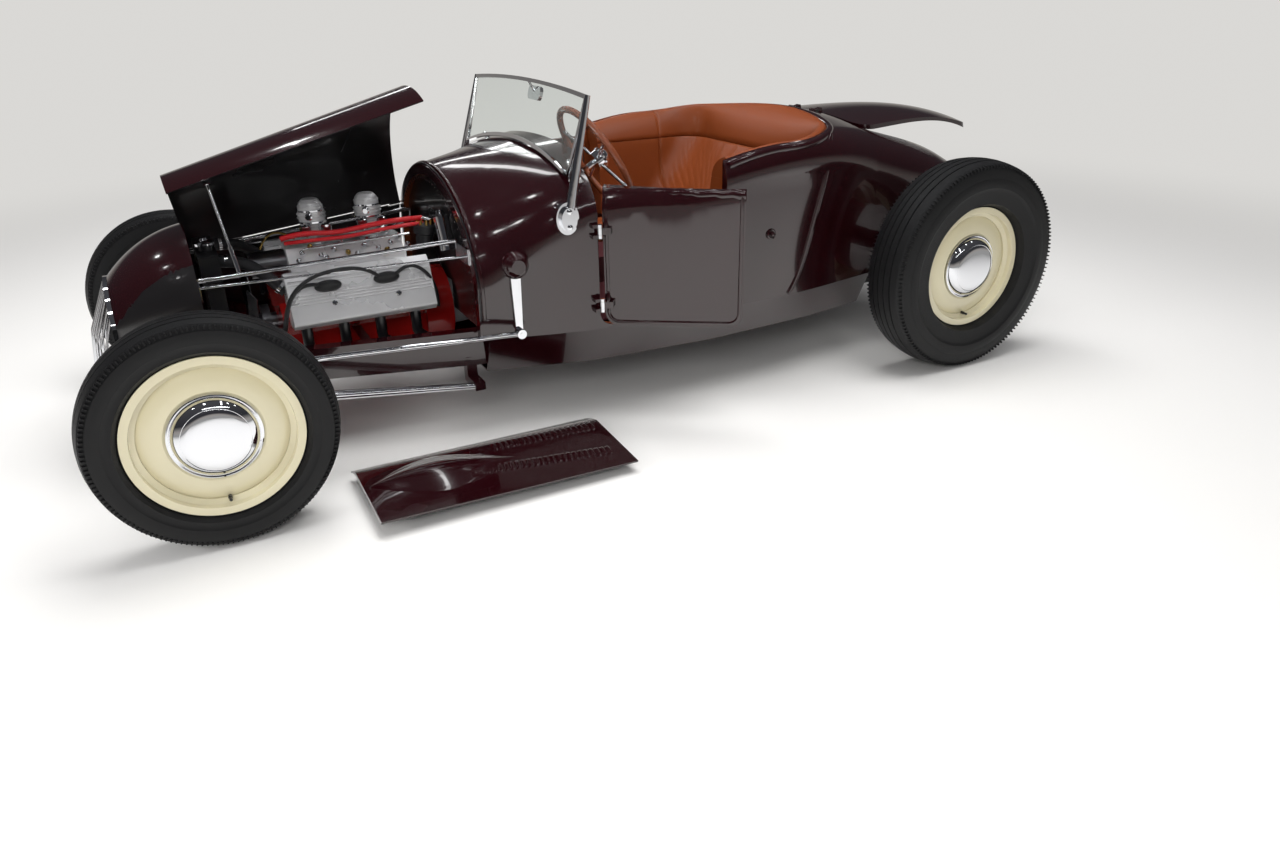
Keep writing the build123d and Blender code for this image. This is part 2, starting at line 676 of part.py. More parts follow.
# Steering: wheel on its column, gear at the cowl's left side, arm and drag link outside
wheel_hub = (300.0, 13.0, 831.0)
steering_rim_radius = 190.0
rim_tube = 11.0
column_foot = (300.0, -400.0, 600.0)
column_run = Vector(*wheel_hub) - Vector(*column_foot)
column_axis = column_run.normalized()
hub_plane = Plane(origin=wheel_hub, x_dir=(1, 0, 0), z_dir=column_axis)
rim = hub_plane.location * Torus(steering_rim_radius, rim_tube)
hub_disc = hub_plane.location * Cylinder(32.0, 24.0)
steering_wheel = rim + hub_disc
for angle in (30, 150, 210, 330):
    end = hub_plane.from_local_coords(
        Vector(steering_rim_radius * cos(radians(angle)), steering_rim_radius * sin(radians(angle)), 0)
    )
    steering_wheel = steering_wheel + rod(wheel_hub, tuple(end), 6.0)
shaft_foot = Vector(*column_foot) + column_axis * 60.0
steering_wheel = steering_wheel + rod(wheel_hub, tuple(shaft_foot), 9.0)
add("steering_wheel", steering_wheel)

gear_x = 492.0
gear_y = -380.0
gear_z = 580.0
shaft_radius = 14.0
shaft_case = 24.0
case_back_x = 352.0
column_radius = 19.0
steer_shaft = 9.0
shaft_clearance = 0.15
column_start = Vector(*column_foot) + column_axis * 55.0
column_end = Vector(*column_foot) + column_axis * 330.0
column_tube = rod(tuple(column_start), tuple(column_end), column_radius)
gear_case = slab(250, case_back_x, -450, -345, 545, 632)
shaft_tube = rod((case_back_x - 5, gear_y, gear_z), (gear_x, gear_y, gear_z), shaft_case)
shaft_bore = rod((case_back_x + 8, gear_y, gear_z), (gear_x + 5, gear_y, gear_z), shaft_radius + pin_clearance)
column_bore = rod(tuple(column_start), tuple(column_end + column_axis), steer_shaft + shaft_clearance)
add("steering_gear", gear_case + column_tube + shaft_tube - shaft_bore - column_bore)
pieces["cowl"] = pieces["cowl"] - rod((300, gear_y, gear_z), (700, gear_y, gear_z), shaft_case + seat_clearance)

# Pitman arm under a painted dome; its lower eye carries the drag link
arm_x = 503.0
arm_thick = 12.0
pitman_length = 220.0
pitman_foot_z = gear_z - pitman_length
arm_profile = [
    (gear_y - 17, gear_z),
    (gear_y - 11, pitman_foot_z),
    (gear_y + 11, pitman_foot_z),
    (gear_y + 17, gear_z),
]
pitman = prism_side(arm_profile, arm_x, arm_x + arm_thick)
pitman = pitman + rod((arm_x, gear_y, gear_z), (arm_x + arm_thick, gear_y, gear_z), 24.0)
pitman = pitman + rod((arm_x, gear_y, pitman_foot_z), (arm_x + arm_thick, gear_y, pitman_foot_z), 15.0)
pitman = pitman + rod((case_back_x + 12, gear_y, gear_z), (arm_x + 1, gear_y, gear_z), shaft_radius)
link_pin_radius = 6.0
link_pin_x = arm_x + arm_thick + 22.0
pitman = pitman + rod((arm_x, gear_y, pitman_foot_z), (link_pin_x, gear_y, pitman_foot_z), link_pin_radius)
add("pitman_arm", pitman)
dome_radius = 44.0
dome_x = arm_x + arm_thick + seat_clearance

# Wheels and tyres: profiles in (distance from the wheel's middle plane, radius), turned about X
tyre_bead = rim_half_width - 6.5
tyre_seat = rim_seat_radius + 2.3


def turned_about_x(face, centre):
    """Revolve a face drawn as (x, radius) about the X axis, then move it to its centre."""
    on_plane = Plane(origin=(0, 0, 0), x_dir=(1, 0, 0), z_dir=(0, -1, 0)).location * face
    return Pos(*centre) * revolve(on_plane, Axis.X, 360)


def tyre_face(radius, width):
    """Half-round carcass with a flat tread."""
    tread = 0.74 * width / 2
    wide = (radius + rim_radius) / 2
    shoulder = radius - 9.0
    foot = Line((-tyre_bead, tyre_seat), (tyre_bead, tyre_seat))
    bead = Line((tyre_bead, tyre_seat), (tyre_bead, rim_radius + 2))
    lower = ThreePointArc(
        (tyre_bead, rim_radius + 2),
        (tyre_bead + 0.62 * (width / 2 - tyre_bead), (rim_radius + wide) / 2 - 4),
        (width / 2, wide),
    )
    upper = ThreePointArc(
        (width / 2, wide),
        (tread + 0.72 * (width / 2 - tread), (shoulder + wide) / 2 + 6),
        (tread, shoulder),
    )
    crown = ThreePointArc((tread, shoulder), (0, radius), (-tread, shoulder))
    half = [bead, lower, upper]
    other = [edge.mirror(Plane.YZ) for edge in half]
    return Face(Wire([foot] + half + [crown] + other))


hub_radius = 32.0
spindle_radius = 17.0
hub_inner = -20.0
hub_outer = 36.0
cap_radius = 116.0
cap_rise = 40.0
cap_wall = 2.5


def wheel_face():
    """Drop-centre rim and dished disc, one closed profile each."""
    half = rim_half_width
    rim_points = [
        (half, rim_radius),
        (half - 6, rim_radius),
        (half - 6, rim_seat_radius + 2),
        (38, rim_seat_radius),
        (30, 190),
        (-30, 190),
        (-38, rim_seat_radius),
        (-half + 6, rim_seat_radius + 2),
        (-half + 6, rim_radius),
        (-half, rim_radius),
        (-half, rim_seat_radius - 4),
        (-41, rim_seat_radius - 6),
        (-33, 184),
        (33, 184),
        (41, rim_seat_radius - 6),
        (half, rim_seat_radius - 4),
    ]
    disc_points = [
        (18, 186),
        (26, 186),
        (33, 174),
        (41, 150),
        (44, 124),
        (37, 112),
        (hub_outer, 60),
        (hub_outer, spindle_radius + pin_clearance),
        (hub_inner, spindle_radius + pin_clearance),
        (hub_inner, hub_radius),
        (26, hub_radius),
        (28, 112),
        (36, 124),
        (33, 150),
        (25, 173),
    ]
    rim_ring = Face(Wire(Polyline(*rim_points, close=True).edges()))
    disc = Face(Wire(Polyline(*disc_points, close=True).edges()))
    return rim_ring, disc


def cap_face():
    """Domed hub cap, a thin shell seated on the disc."""
    rim_x = 39.4 + seat_clearance
    edges = []
    for wall in (0.0, cap_wall):
        crown_x = rim_x + cap_rise - wall
        shoulder = (crown_x - 0.22 * cap_rise, 0.66 * cap_radius - wall / 2)
        crown = TangentArc((crown_x, 0), shoulder, tangent=(0, 1))
        side = TangentArc(shoulder, (rim_x, cap_radius - wall), tangent=crown % 1)
        edges.extend([crown, side])
    lip = Line((rim_x, cap_radius - cap_wall), (rim_x, cap_radius))
    middle = Line((rim_x + cap_rise, 0), (rim_x + cap_rise - cap_wall, 0))
    return Face(Wire(edges + [lip, middle]))


def dome_face(radius, height):
    """Flat-topped dome: rim radius, and height along the axis."""
    top_radius = 0.5 * radius
    curve = ThreePointArc((0, radius), (0.6 * height, 0.85 * radius), (height, top_radius))
    sides = Polyline((height, top_radius), (height, 0), (0, 0), (0, radius))
    return Face(Wire([curve] + list(sides.edges())))


add("steering_dome", turned_about_x(dome_face(dome_radius, 0.8 * dome_radius), (dome_x, gear_y, gear_z)))

corners = [
    ("front", front_axle_y, front_track / 2, front_tyre_radius, front_tyre_width),
    ("rear", rear_axle_y, rear_track / 2, rear_tyre_radius, rear_tyre_width),
]
for end_name, axle_y, centre_x, tyre_radius, tyre_width in corners:
    centre = (centre_x, axle_y, tyre_radius)
    rim_ring, disc = wheel_face()
    wheel = turned_about_x(rim_ring, centre) + turned_about_x(disc, centre)
    tyre = turned_about_x(tyre_face(tyre_radius, tyre_width), centre)
    cap = turned_about_x(cap_face(), centre)
    for side_name, flip in (("left", False), ("right", True)):
        for kind, shape in (("tyre", tyre), ("wheel", wheel), ("hub_cap", cap)):
            add(kind + "_" + end_name + "_" + side_name, shape.mirror(Plane.YZ) if flip else shape)

# Front axle: dropped tube with kingpin bosses and spring perches, and a transverse spring
kingpin_x = 600.0
kingpin_radius = 11.0
boss_radius = 24.0
boss_half = 30.0
axle_tube = 28.0
axle_drop_z = 262.0
axle_z = front_tyre_radius
axle_path = [
    (-kingpin_x + 15, front_axle_y, axle_z),
    (-505, front_axle_y, axle_z),
    (-410, front_axle_y, axle_drop_z),
    (410, front_axle_y, axle_drop_z),
    (505, front_axle_y, axle_z),
    (kingpin_x - 15, front_axle_y, axle_z),
]
front_axle = bent_tube(axle_path, axle_tube, 70.0)
for side in (1, -1):
    front_axle = front_axle + Pos(side * kingpin_x, front_axle_y, axle_z) * Cylinder(boss_radius, 2 * boss_half)
    perch = slab(side * 345 - 18, side * 345 + 18, front_axle_y - 20, front_axle_y + 20, 275, 298)
    front_axle = front_axle + perch
    bracket = slab(side * 455 - 16, side * 455 + 16, front_axle_y + 5, front_axle_y + 50, 275, 305)
    front_axle = front_axle + bracket
for side in (1, -1):
    bore = Pos(side * kingpin_x, front_axle_y, axle_z) * Cylinder(kingpin_radius + pin_clearance, 3 * boss_half)
    front_axle = front_axle - bore
add("front_axle", front_axle)


def leaf_spring(half_span, end_z, rise, thick, y, width):
    """Transverse spring: a band between two arcs."""
    low = ThreePointArc((-half_span, end_z), (0, end_z + rise), (half_span, end_z))
    high = ThreePointArc((-half_span, end_z + thick), (0, end_z + rise + thick), (half_span, end_z + thick))
    ends = [Line(low @ 0, high @ 0), Line(low @ 1, high @ 1)]
    face = Face(Wire([low, high] + ends))
    return extrude(across(y - width / 2).location * face, width, dir=(0, 1, 0))


front_spring_z = 298.0 + seat_clearance
spring_rise = 22.0
spring_thick = 24.0
spring_y_width = 45.0
rear_perch_z = 488.0
front_spring = leaf_spring(362.0, front_spring_z, spring_rise, spring_thick - 1, front_axle_y, spring_y_width)

# Steering knuckles: brake housing, yoke, kingpin, spindle, arm to the tie rod
ear_gap = 1.0
ear_thick = 14.0
brake_radius = 135.0
brake_inner_x = 628.0
brake_outer_x = 679.0
tie_y = front_axle_y + 150.0
tie_z = 180.0
tie_x = kingpin_x
tie_rod_radius = 9.0
drag_front_x = 470.0
drag_front_z = 395.0
spindle_end_x = front_track / 2 + hub_outer - 2.0


def knuckle():
    """Left knuckle, without the arm that only one side has."""
    low_z = axle_z - boss_half - ear_gap
    high_z = axle_z + boss_half + ear_gap
    plate = rod((brake_inner_x, front_axle_y, axle_z), (brake_outer_x, front_axle_y, axle_z), brake_radius)
    ear_back = kingpin_x - 20
    low_ear = slab(ear_back, brake_inner_x + 2, front_axle_y - 20, front_axle_y + 20, low_z - ear_thick, low_z)
    high_ear = slab(ear_back, brake_inner_x + 2, front_axle_y - 20, front_axle_y + 20, high_z, high_z + ear_thick)
    pin = Pos(kingpin_x, front_axle_y, axle_z) * Cylinder(kingpin_radius, high_z - low_z + 2)
    spindle = rod((brake_outer_x - 2, front_axle_y, axle_z), (spindle_end_x, front_axle_y, axle_z), spindle_radius)
    arm = bar(
        [
            (front_axle_y + 10, kingpin_x - 4, low_z - ear_thick / 2, 24.0, ear_thick),
            (tie_y + 12, tie_x, tie_z + tie_rod_radius + 5 + 8, 22.0, 16.0),
        ]
    )
    stud = rod((tie_x, tie_y, tie_z - 12), (tie_x, tie_y, tie_z + 20), 7.0)
    return plate + low_ear + high_ear + pin + spindle + arm + stud


left_knuckle = knuckle()
arm_z = axle_z + boss_half + ear_gap + ear_thick / 2
steer_arm = prism_down(
    [
        (kingpin_x, front_axle_y - 16),
        (drag_front_x, front_axle_y - 13),
        (drag_front_x, front_axle_y + 13),
        (kingpin_x, front_axle_y + 16),
    ],
    arm_z - ear_thick / 2,
    arm_z + ear_thick / 2,
)
steer_arm = steer_arm + Pos(drag_front_x, front_axle_y, arm_z) * Cylinder(16.0, ear_thick)
add("knuckle_left", left_knuckle + steer_arm)
add("knuckle_right", left_knuckle.mirror(Plane.YZ))

# Tie rod between the knuckles, with an eye at each end; the right eye is the loop's open pivot
eye_radius = 15.0
open_eye_slack = 0.5
tie_rod = rod((-tie_x, tie_y, tie_z), (tie_x, tie_y, tie_z), tie_rod_radius)
for side in (1, -1):
    tie_rod = tie_rod + Pos(side * tie_x, tie_y, tie_z) * Cylinder(eye_radius, 20)
for side, slack in ((1, pin_clearance), (-1, open_eye_slack)):
    tie_rod = tie_rod - Pos(side * tie_x, tie_y, tie_z) * Cylinder(7.0 + slack, 40)
add("tie_rod", tie_rod)

# Drag link from the pitman's pin to the left knuckle's arm, open at the knuckle
drag_back = (arm_x + arm_thick + 11.0, gear_y, pitman_foot_z)
drag_front = (drag_front_x, front_axle_y, drag_front_z)
drag_link = rod(drag_front, drag_back, 8.5)
drag_link = drag_link + rod(
    (drag_back[0] - 10, gear_y, pitman_foot_z), (drag_back[0] + 10, gear_y, pitman_foot_z), 15.0
)
drag_link = drag_link + Pos(*drag_front) * Sphere(12.0)
drag_link = drag_link - rod(
    (arm_x, gear_y, pitman_foot_z), (link_pin_x + 20, gear_y, pitman_foot_z), link_pin_radius + pin_clearance
)
add("drag_link", drag_link)

# Radius rods: tapered, from the front axle to a bracket ahead of the cowl, and behind to the rear axle
rod_back_y = -528.0
bracket_z = 185.0
rear_rod_x = 315.0


def level_rod(start, end, start_radius, end_radius):
    """Tapered rod whose end faces stand square across the car."""
    first = across(start[1]).location * (Pos(start[0], start[2]) * Circle(start_radius)).face()
    last = across(end[1]).location * (Pos(end[0], end[2]) * Circle(end_radius)).face()
    return loft([first, last], ruled=True)


front_rod = level_rod((455, front_axle_y + 50 + seat_clearance, 289), (452, rod_back_y, bracket_z), 18.0, 11.0)
rear_rod = level_rod((rear_rod_x, rear_axle_y - 52, 345), (rear_rod_x, 930 + seat_clearance, 270), 14.0, 12.0)
add("radius_rods", *both_sides(front_rod), *both_sides(rear_rod))
front_bracket = slab(350, 464, rod_back_y + seat_clearance, rod_back_y + 34, bracket_z - 15, bracket_z + 11)
hanger = slab(350, 388, rod_back_y + seat_clearance, rod_back_y + 34, bracket_z - 15, 260)
for shape in both_sides(front_bracket + hanger):
    pieces["frame"] = pieces["frame"] + shape

# Rear axle: tubes, quick-change centre, brake housings and stub spindles
rear_z = rear_tyre_radius
rear_axle = rod((-612, rear_axle_y, rear_z), (612, rear_axle_y, rear_z), 38.0)
centre_case = rod((0, rear_axle_y - 120, rear_z), (0, rear_axle_y + 95, rear_z), 98.0)
cover = rod((0, rear_axle_y + 90, rear_z + 12), (0, rear_axle_y + 135, rear_z + 12), 82.0)
nose_case = rod((0, rear_axle_y - 230, rear_z - 10), (0, rear_axle_y - 110, rear_z - 10), 42.0, 70.0)
rear_axle = rear_axle + centre_case + cover + nose_case
for side in (1, -1):
    bell = rod((side * 70, rear_axle_y, rear_z), (side * 210, rear_axle_y, rear_z), 88.0, 44.0)
    brake = rod((side * 608, rear_axle_y, rear_z), (side * 688, rear_axle_y, rear_z), 140.0)
    stub_end = rear_track / 2 + hub_outer - 2.0
    stub = rod((side * 680, rear_axle_y, rear_z), (side * stub_end, rear_axle_y, rear_z), spindle_radius)
    lug_x = side * rear_rod_x
    lug = slab(lug_x - 16, lug_x + 16, rear_axle_y - 52 + seat_clearance, rear_axle_y, 328, rear_z + 10)
    perch = slab(side * 300 - 20, side * 300 + 20, rear_axle_y - 22, rear_axle_y + 22, rear_z, rear_perch_z - 0.3)
    rear_axle = rear_axle + bell + brake + stub + lug + perch
add("rear_axle", rear_axle)
rear_spring = leaf_spring(325.0, rear_perch_z, 0.1, 10.0, rear_axle_y, spring_y_width)
rear_spring = rear_spring + slab(-150, 150, rear_axle_y - 22, rear_axle_y + 22, rear_perch_z + 5, 510 - 0.3)
add("springs", front_spring, rear_spring)

# Engine: red block, cast heads and covers, two carburettors, drive at its front
engine_front_y = -1045.0
engine_back_y = -575.0
block_half = [(95, 205), (120, 250), (112, 345), (205, 425), (168, 470), (60, 400), (0, 400)]
block_points = block_half + [(-x, z) for x, z in reversed(block_half[:-1])]
block = prism_across(block_points, engine_front_y, engine_back_y)
bell_y = -478.0
bell = rod((0, engine_back_y - 1, 345), (0, bell_y, 345), 140.0, 132.0)
add("engine_block", block + bell)
cover_points = [(206, 408), (282, 412), (306, 432), (262, 556), (232, 580), (196, 568), (167.85, 470.2), (204.85, 425.2)]
covers = prism_across(cover_points, engine_front_y + 20, engine_back_y - 5)
vertical = [e for e in covers.edges() if abs((e % 0.5).Y) > 0.99 and (e @ 0.5).X > 240]
covers = fillet(vertical, 10.0)
add("valve_covers", *both_sides(Pos(0.4, 0, 0) * covers))
manifold_half = [(0, 400.3), (59.8, 400.3), (164, 467.8), (150, 520), (96, 560), (60, 612), (0, 612)]
manifold_points = manifold_half + [(-x, z) for x, z in reversed(manifold_half[1:-1])]
manifold = prism_across(manifold_points, engine_front_y + 60, engine_back_y - 40)
carburettor_y = (-880.0, -700.0)
carburettors = []
for y in carburettor_y:
    base = Pos(0, y, 620.3) * Cylinder(46, 16)
    bowl = Pos(0, y, 652) * Cylinder(36, 52)
    horn = Pos(0, y, 698) * Cylinder(42, 44)
    dome_top = Pos(0, y, 719.9) * Sphere(40) & slab(-50, 50, y - 50, y + 50, 719.9, 752)
    carburettors.append(base + bowl + horn + dome_top)
add("carburettors", manifold, *carburettors)
drive = rod((0, engine_front_y - 0.3, 285), (0, engine_front_y - 45, 285), 62.0)
pump = rod((0, engine_front_y - 0.3, 372), (0, engine_front_y - 85, 372), 26.0)
pump = pump + rod((0, engine_front_y - 20, 372), (0, engine_front_y - 45, 372), 55.0)
for angle in (45, 135, 225, 315):
    blade = Pos(0, engine_front_y - 70, 372) * Rot(0, angle, 0) * Pos(95, 0, 0) * Rot(28, 0, 0) * Box(170, 4, 46)
    pump = pump + blade
generator = rod((0, engine_front_y + 59.7, 560), (0, engine_front_y - 50, 560), 42.0)
add("engine_drive", drive, pump, generator)
add("gearbox", level_rod((0, bell_y + seat_clearance, 345), (0, -60, 345), 88.0, 58.0))

# Driveline tube to the rear axle
shaft_end = (0, rear_axle_y - 230 - seat_clearance, rear_z - 10)
add("driveshaft", level_rod((0, -60 + seat_clearance, 345), shaft_end, 27.0, 27.0))

# Exhaust: four short pipes from each head to a collector, then back through the belly
exhausts = []
exhaust_x = 262.0
exhaust_z = 232.0
exhaust_radius = 22.0
for side in (1, -1):
    main = rod((side * exhaust_x, -600, exhaust_z), (side * exhaust_x, tail_y - 160, exhaust_z), exhaust_radius)
    for index, y in enumerate((-985.0, -870.0, -755.0, -640.0)):
        points = [
            (side * 240, y, 408.5),
            (side * 240, y, 330),
            (side * (exhaust_x - 8), y + 100, exhaust_z + 8),
            (side * exhaust_x, max(y + 260, -590), exhaust_z),
        ]
        main = main + bent_tube(points, 17.0, 30.0)
    exhausts.append(main)
add("exhaust", *exhausts)
for side in (1, -1):
    passage = rod((side * exhaust_x, -560, exhaust_z), (side * exhaust_x, 1100, exhaust_z), exhaust_radius + 5)
    pieces["frame"] = pieces["frame"] - passage
    pieces["belly_pan"] = pieces["belly_pan"] - passage

# Radiator inside the nose
radiator = slab(-210.5, 210.5, -1240, -1192, 300, 575)
tank_top = slab(-150, 150, -1245, -1187, 574, 640)
filler = Pos(60, -1216, 645) * Cylinder(20, 24)
add("radiator", radiator + tank_top + filler)

# Interior: cushion, back and padded edge inside the tub's walls
lining = body_form(body_stations, body_wall + seat_clearance, 60.0, hoop_y - 5.0, tail_y + 5.0)
cushion_top_z = 470.0
back_top_z = 720.0
cushion = slab(-490, 490, 330, 830, floor_z + sheet + seat_clearance, cushion_top_z) & lining
tunnel_half = 105.0
cushion = cushion - slab(-tunnel_half - 6, tunnel_half + 6, 0, 1000, 300, 432)
add("seat_cushion", cushion)


def plan_block(grow, z0, z1):
    """Block with the cockpit's plan."""
    return extrude(Pos(0, 0, z0) * cockpit_plan(grow), z1 - z0, dir=(0, 0, 1))


back_zone = slab(-700, 700, 420, 935, floor_z + sheet + seat_clearance, back_top_z)
seat_back = (lining & back_zone) - plan_block(-125.0, 200, 1100) - slab(-800, 800, 300, 830.3, 300, cushion_top_z)
seat_back = seat_back - slab(-tunnel_half - 6, tunnel_half + 6, 0, 1100, 300, 432)
add("seat_back", seat_back)
pad_zone = slab(-700, 700, door_back_y + 8, riser_y + 300, back_top_z, 1100)
pad_bottom_z = back_top_z + seat_clearance
pad_ring = plan_block(-seat_clearance, pad_bottom_z, 1000) - plan_block(-60.0, 600, 1100)
add("cockpit_pad", (pad_ring & pad_zone) & lining)

# Controls: three pedals and a gear lever
controls = []
for x in (205.0, 290.0, 375.0):
    pedal = Pos(x, -300, 470) * Rot(-60, 0, 0) * Box(50, 70, 8)
    stalk = rod((x, -302, 466), (x, -420, 357), 6.0)
    foot = slab(x - 12, x + 12, -432, -408, floor_z + sheet + seat_clearance, 362)
    controls.append(pedal + stalk + foot)
tunnel_top_z = 445.0
lever = rod((0, 40, tunnel_top_z + 4.3), (0, 10, 700), 7.0) + Pos(0, 10, 705) * Sphere(20)
lever = lever + Pos(0, 40, tunnel_top_z + 6) * Cylinder(32, 11.4)
controls.append(lever)
add("controls", *controls)

# Floor tunnel over the gearbox and drive shaft, and the firewall's hole for it
tunnel = slab(-tunnel_half, tunnel_half, firewall_y + sheet + 0.3, 240, floor_z, tunnel_top_z)
tunnel = tunnel + slab(-tunnel_half, tunnel_half, 230, riser_y + sheet, floor_z, 425)
tunnel_inner = slab(
    -tunnel_half + sheet, tunnel_half - sheet, firewall_y - 5, 240 - sheet, 100, tunnel_top_z - sheet
)
tunnel_inner = tunnel_inner + slab(-tunnel_half + sheet, tunnel_half - sheet, 200, riser_y + 50, 100, 425 - sheet)
pieces["floor_pan"] = pieces["floor_pan"] + tunnel - tunnel_inner
pieces["firewall"] = pieces["firewall"] - slab(-102, 102, -600, -400, 200, 450)

# Tail lamps and a blank plate on its bracket
lamps = []
for side in (1, -1):
    lamps.append(rod((side * 205, tail_y + 0.3, 470), (side * 205, tail_y + 26, 470), 38.0, 34.0))
add("tail_lamps", *lamps)
plate_z = 461.0
plate = slab(-152, 152, tail_y + 18, tail_y + 21, plate_z - 76, plate_z + 76)
plate = plate + slab(-60, 60, tail_y + seat_clearance, tail_y + 18, plate_z - 20, plate_z + 20)
plate_hole_x = 88.9
plate_hole_z = 60.3
for x in (-plate_hole_x, plate_hole_x):
    for z in (plate_z - plate_hole_z, plate_z + plate_hole_z):
        plate = plate - rod((x, tail_y + 5, z), (x, tail_y + 40, z), 3.5)
add("plate_bracket", plate)


def save():
    """Move every piece to the box's middle and write it."""
    whole = Compound([solid for shape in pieces.values() for solid in shape.solids()]).bounding_box()
    middle_x = (whole.min.X + whole.max.X) / 2
    middle_y = (whole.min.Y + whole.max.Y) / 2
    print("car centre line at x", -middle_x, "mid wheelbase at y", -middle_y)
    for name, shape in pieces.items():
        solids = [solid.translate((-middle_x, -middle_y, 0)) for solid in shape.solids()]
        moved = Compound(solids) if len(solids) > 1 else solids[0]
        export_step(moved, os.path.join("parts", name + ".step"))


save()
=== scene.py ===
import json
from math import cos, pi, radians, sin, tau

import bmesh
import bpy
from mathutils import Matrix, Vector
from mathutils.bvhtree import BVHTree


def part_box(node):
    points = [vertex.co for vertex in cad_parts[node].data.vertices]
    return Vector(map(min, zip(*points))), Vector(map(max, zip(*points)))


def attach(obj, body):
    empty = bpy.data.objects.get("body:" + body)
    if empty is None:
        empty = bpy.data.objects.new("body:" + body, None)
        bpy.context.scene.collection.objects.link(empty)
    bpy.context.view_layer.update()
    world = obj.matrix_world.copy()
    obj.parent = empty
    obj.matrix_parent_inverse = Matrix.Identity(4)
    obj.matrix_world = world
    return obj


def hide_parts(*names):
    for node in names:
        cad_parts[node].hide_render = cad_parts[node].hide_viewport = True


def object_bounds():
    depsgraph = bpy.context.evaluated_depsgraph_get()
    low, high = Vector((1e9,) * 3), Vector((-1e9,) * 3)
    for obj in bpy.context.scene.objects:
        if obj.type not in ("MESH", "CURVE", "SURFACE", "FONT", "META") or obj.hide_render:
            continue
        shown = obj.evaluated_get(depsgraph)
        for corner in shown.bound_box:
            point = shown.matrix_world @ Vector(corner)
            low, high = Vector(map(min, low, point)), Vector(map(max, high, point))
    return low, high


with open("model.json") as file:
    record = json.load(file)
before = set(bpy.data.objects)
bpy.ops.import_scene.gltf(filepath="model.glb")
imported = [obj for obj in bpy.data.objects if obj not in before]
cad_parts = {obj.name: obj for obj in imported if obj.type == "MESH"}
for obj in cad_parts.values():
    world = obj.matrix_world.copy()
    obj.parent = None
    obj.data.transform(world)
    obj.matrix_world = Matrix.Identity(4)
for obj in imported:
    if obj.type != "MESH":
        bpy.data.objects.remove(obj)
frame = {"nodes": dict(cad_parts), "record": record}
cad_low, cad_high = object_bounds()

# The room: a pale studio floor, soft boxes overhead and the view that the photograph has.
# Car coordinates have their zero on the floor, mid track and mid wheelbase.
rear_left_low, rear_left_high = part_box("tyre_rear_left")
rear_right_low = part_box("tyre_rear_right")[0]
front_left_low, front_left_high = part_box("tyre_front_left")
car_x = (rear_left_high.x + rear_right_low.x) / 2
car_y = (rear_left_low.y + rear_left_high.y + front_left_low.y + front_left_high.y) / 4
scene = bpy.context.scene
scene.view_settings.view_transform = "Standard"


def car(x, y, z):
    """A point given in car coordinates, in the frame's own."""
    return Vector((x + car_x, y + car_y, z))


def placed(name, data):
    """A new object in the scene."""
    piece = bpy.data.objects.new(name, data)
    scene.collection.objects.link(piece)
    return piece


camera_data = bpy.data.cameras.new("view")
camera_data.lens = 25.72
camera_data.sensor_width = 36.0
camera = placed("view", camera_data)
camera_forward = Vector((-0.8047, 0.4134, -0.4262)).normalized()
camera_up = Vector((-0.3692, 0.2140, 0.9045))
camera_right = camera_forward.cross(camera_up).normalized()
camera_up = camera_right.cross(camera_forward)
turn = Matrix((camera_right, camera_up, -camera_forward)).transposed().to_4x4()
camera.matrix_world = Matrix.Translation(car(3.1492, -1.3105, 1.3293)) @ turn
scene.camera = camera


def wired(tree, kind, inputs=None, **settings):
    """A new node with its settings; its inputs are given values or linked to other sockets."""
    node = tree.nodes.new(kind)
    for key, value in settings.items():
        setattr(node, key, value)
    for key, value in (inputs or {}).items():
        if isinstance(value, bpy.types.NodeSocket):
            tree.links.new(value, node.inputs[key])
        else:
            node.inputs[key].default_value = value
    return node


def calculated(tree, operation, *values):
    """The result of a math node over values or sockets."""
    return wired(tree, "ShaderNodeMath", dict(enumerate(values)), operation=operation).outputs[0]


def mirrored_share(tree, rays):
    """1 where a glossy surface mirrors its surroundings, 0 elsewhere."""
    return calculated(tree, "MULTIPLY", rays["Is Glossy Ray"], rays["Is Reflection Ray"])


floor_reach = 40.0
fade_from, fade_to = 2.0, 6.5
mirrored_dimming = 0.55
far_pale = (0.70, 0.69, 0.67, 1)
corners = [(-floor_reach, -floor_reach, 0), (floor_reach, -floor_reach, 0), (floor_reach, floor_reach, 0)]
floor_mesh = bpy.data.meshes.new("studio_floor")
floor_mesh.from_pydata(corners + [(-floor_reach, floor_reach, 0)], [], [(0, 1, 2, 3)])
floor = placed("studio_floor", floor_mesh)
floor_paint = bpy.data.materials.new("studio_floor")
floor_paint.use_nodes = True
tree = floor_paint.node_tree
near = tree.nodes["Principled BSDF"]
near.inputs["Base Color"].default_value = (0.8, 0.79, 0.77, 1)
near.inputs["Roughness"].default_value = 0.55
place = wired(tree, "ShaderNodeTexCoord").outputs["Object"]
away = wired(tree, "ShaderNodeVectorMath", {0: place, 1: (car_x, car_y, 0)}, operation="DISTANCE")
fading = {"Value": away.outputs["Value"], "From Min": fade_from, "From Max": fade_to}
fade = wired(tree, "ShaderNodeMapRange", fading, interpolation_type="SMOOTHERSTEP").outputs["Result"]
rays = wired(tree, "ShaderNodeLightPath").outputs
seen = calculated(tree, "MAXIMUM", rays["Is Camera Ray"], rays["Is Glossy Ray"])
seen = calculated(tree, "MAXIMUM", seen, rays["Is Transmission Ray"])
strength = calculated(tree, "MULTIPLY_ADD", mirrored_share(tree, rays), -mirrored_dimming, 1.0)
far = wired(tree, "ShaderNodeEmission", {"Color": far_pale, "Strength": strength}).outputs[0]
share = calculated(tree, "MULTIPLY", fade, seen)
mix = wired(tree, "ShaderNodeMixShader", {"Fac": share, 1: near.outputs[0], 2: far})
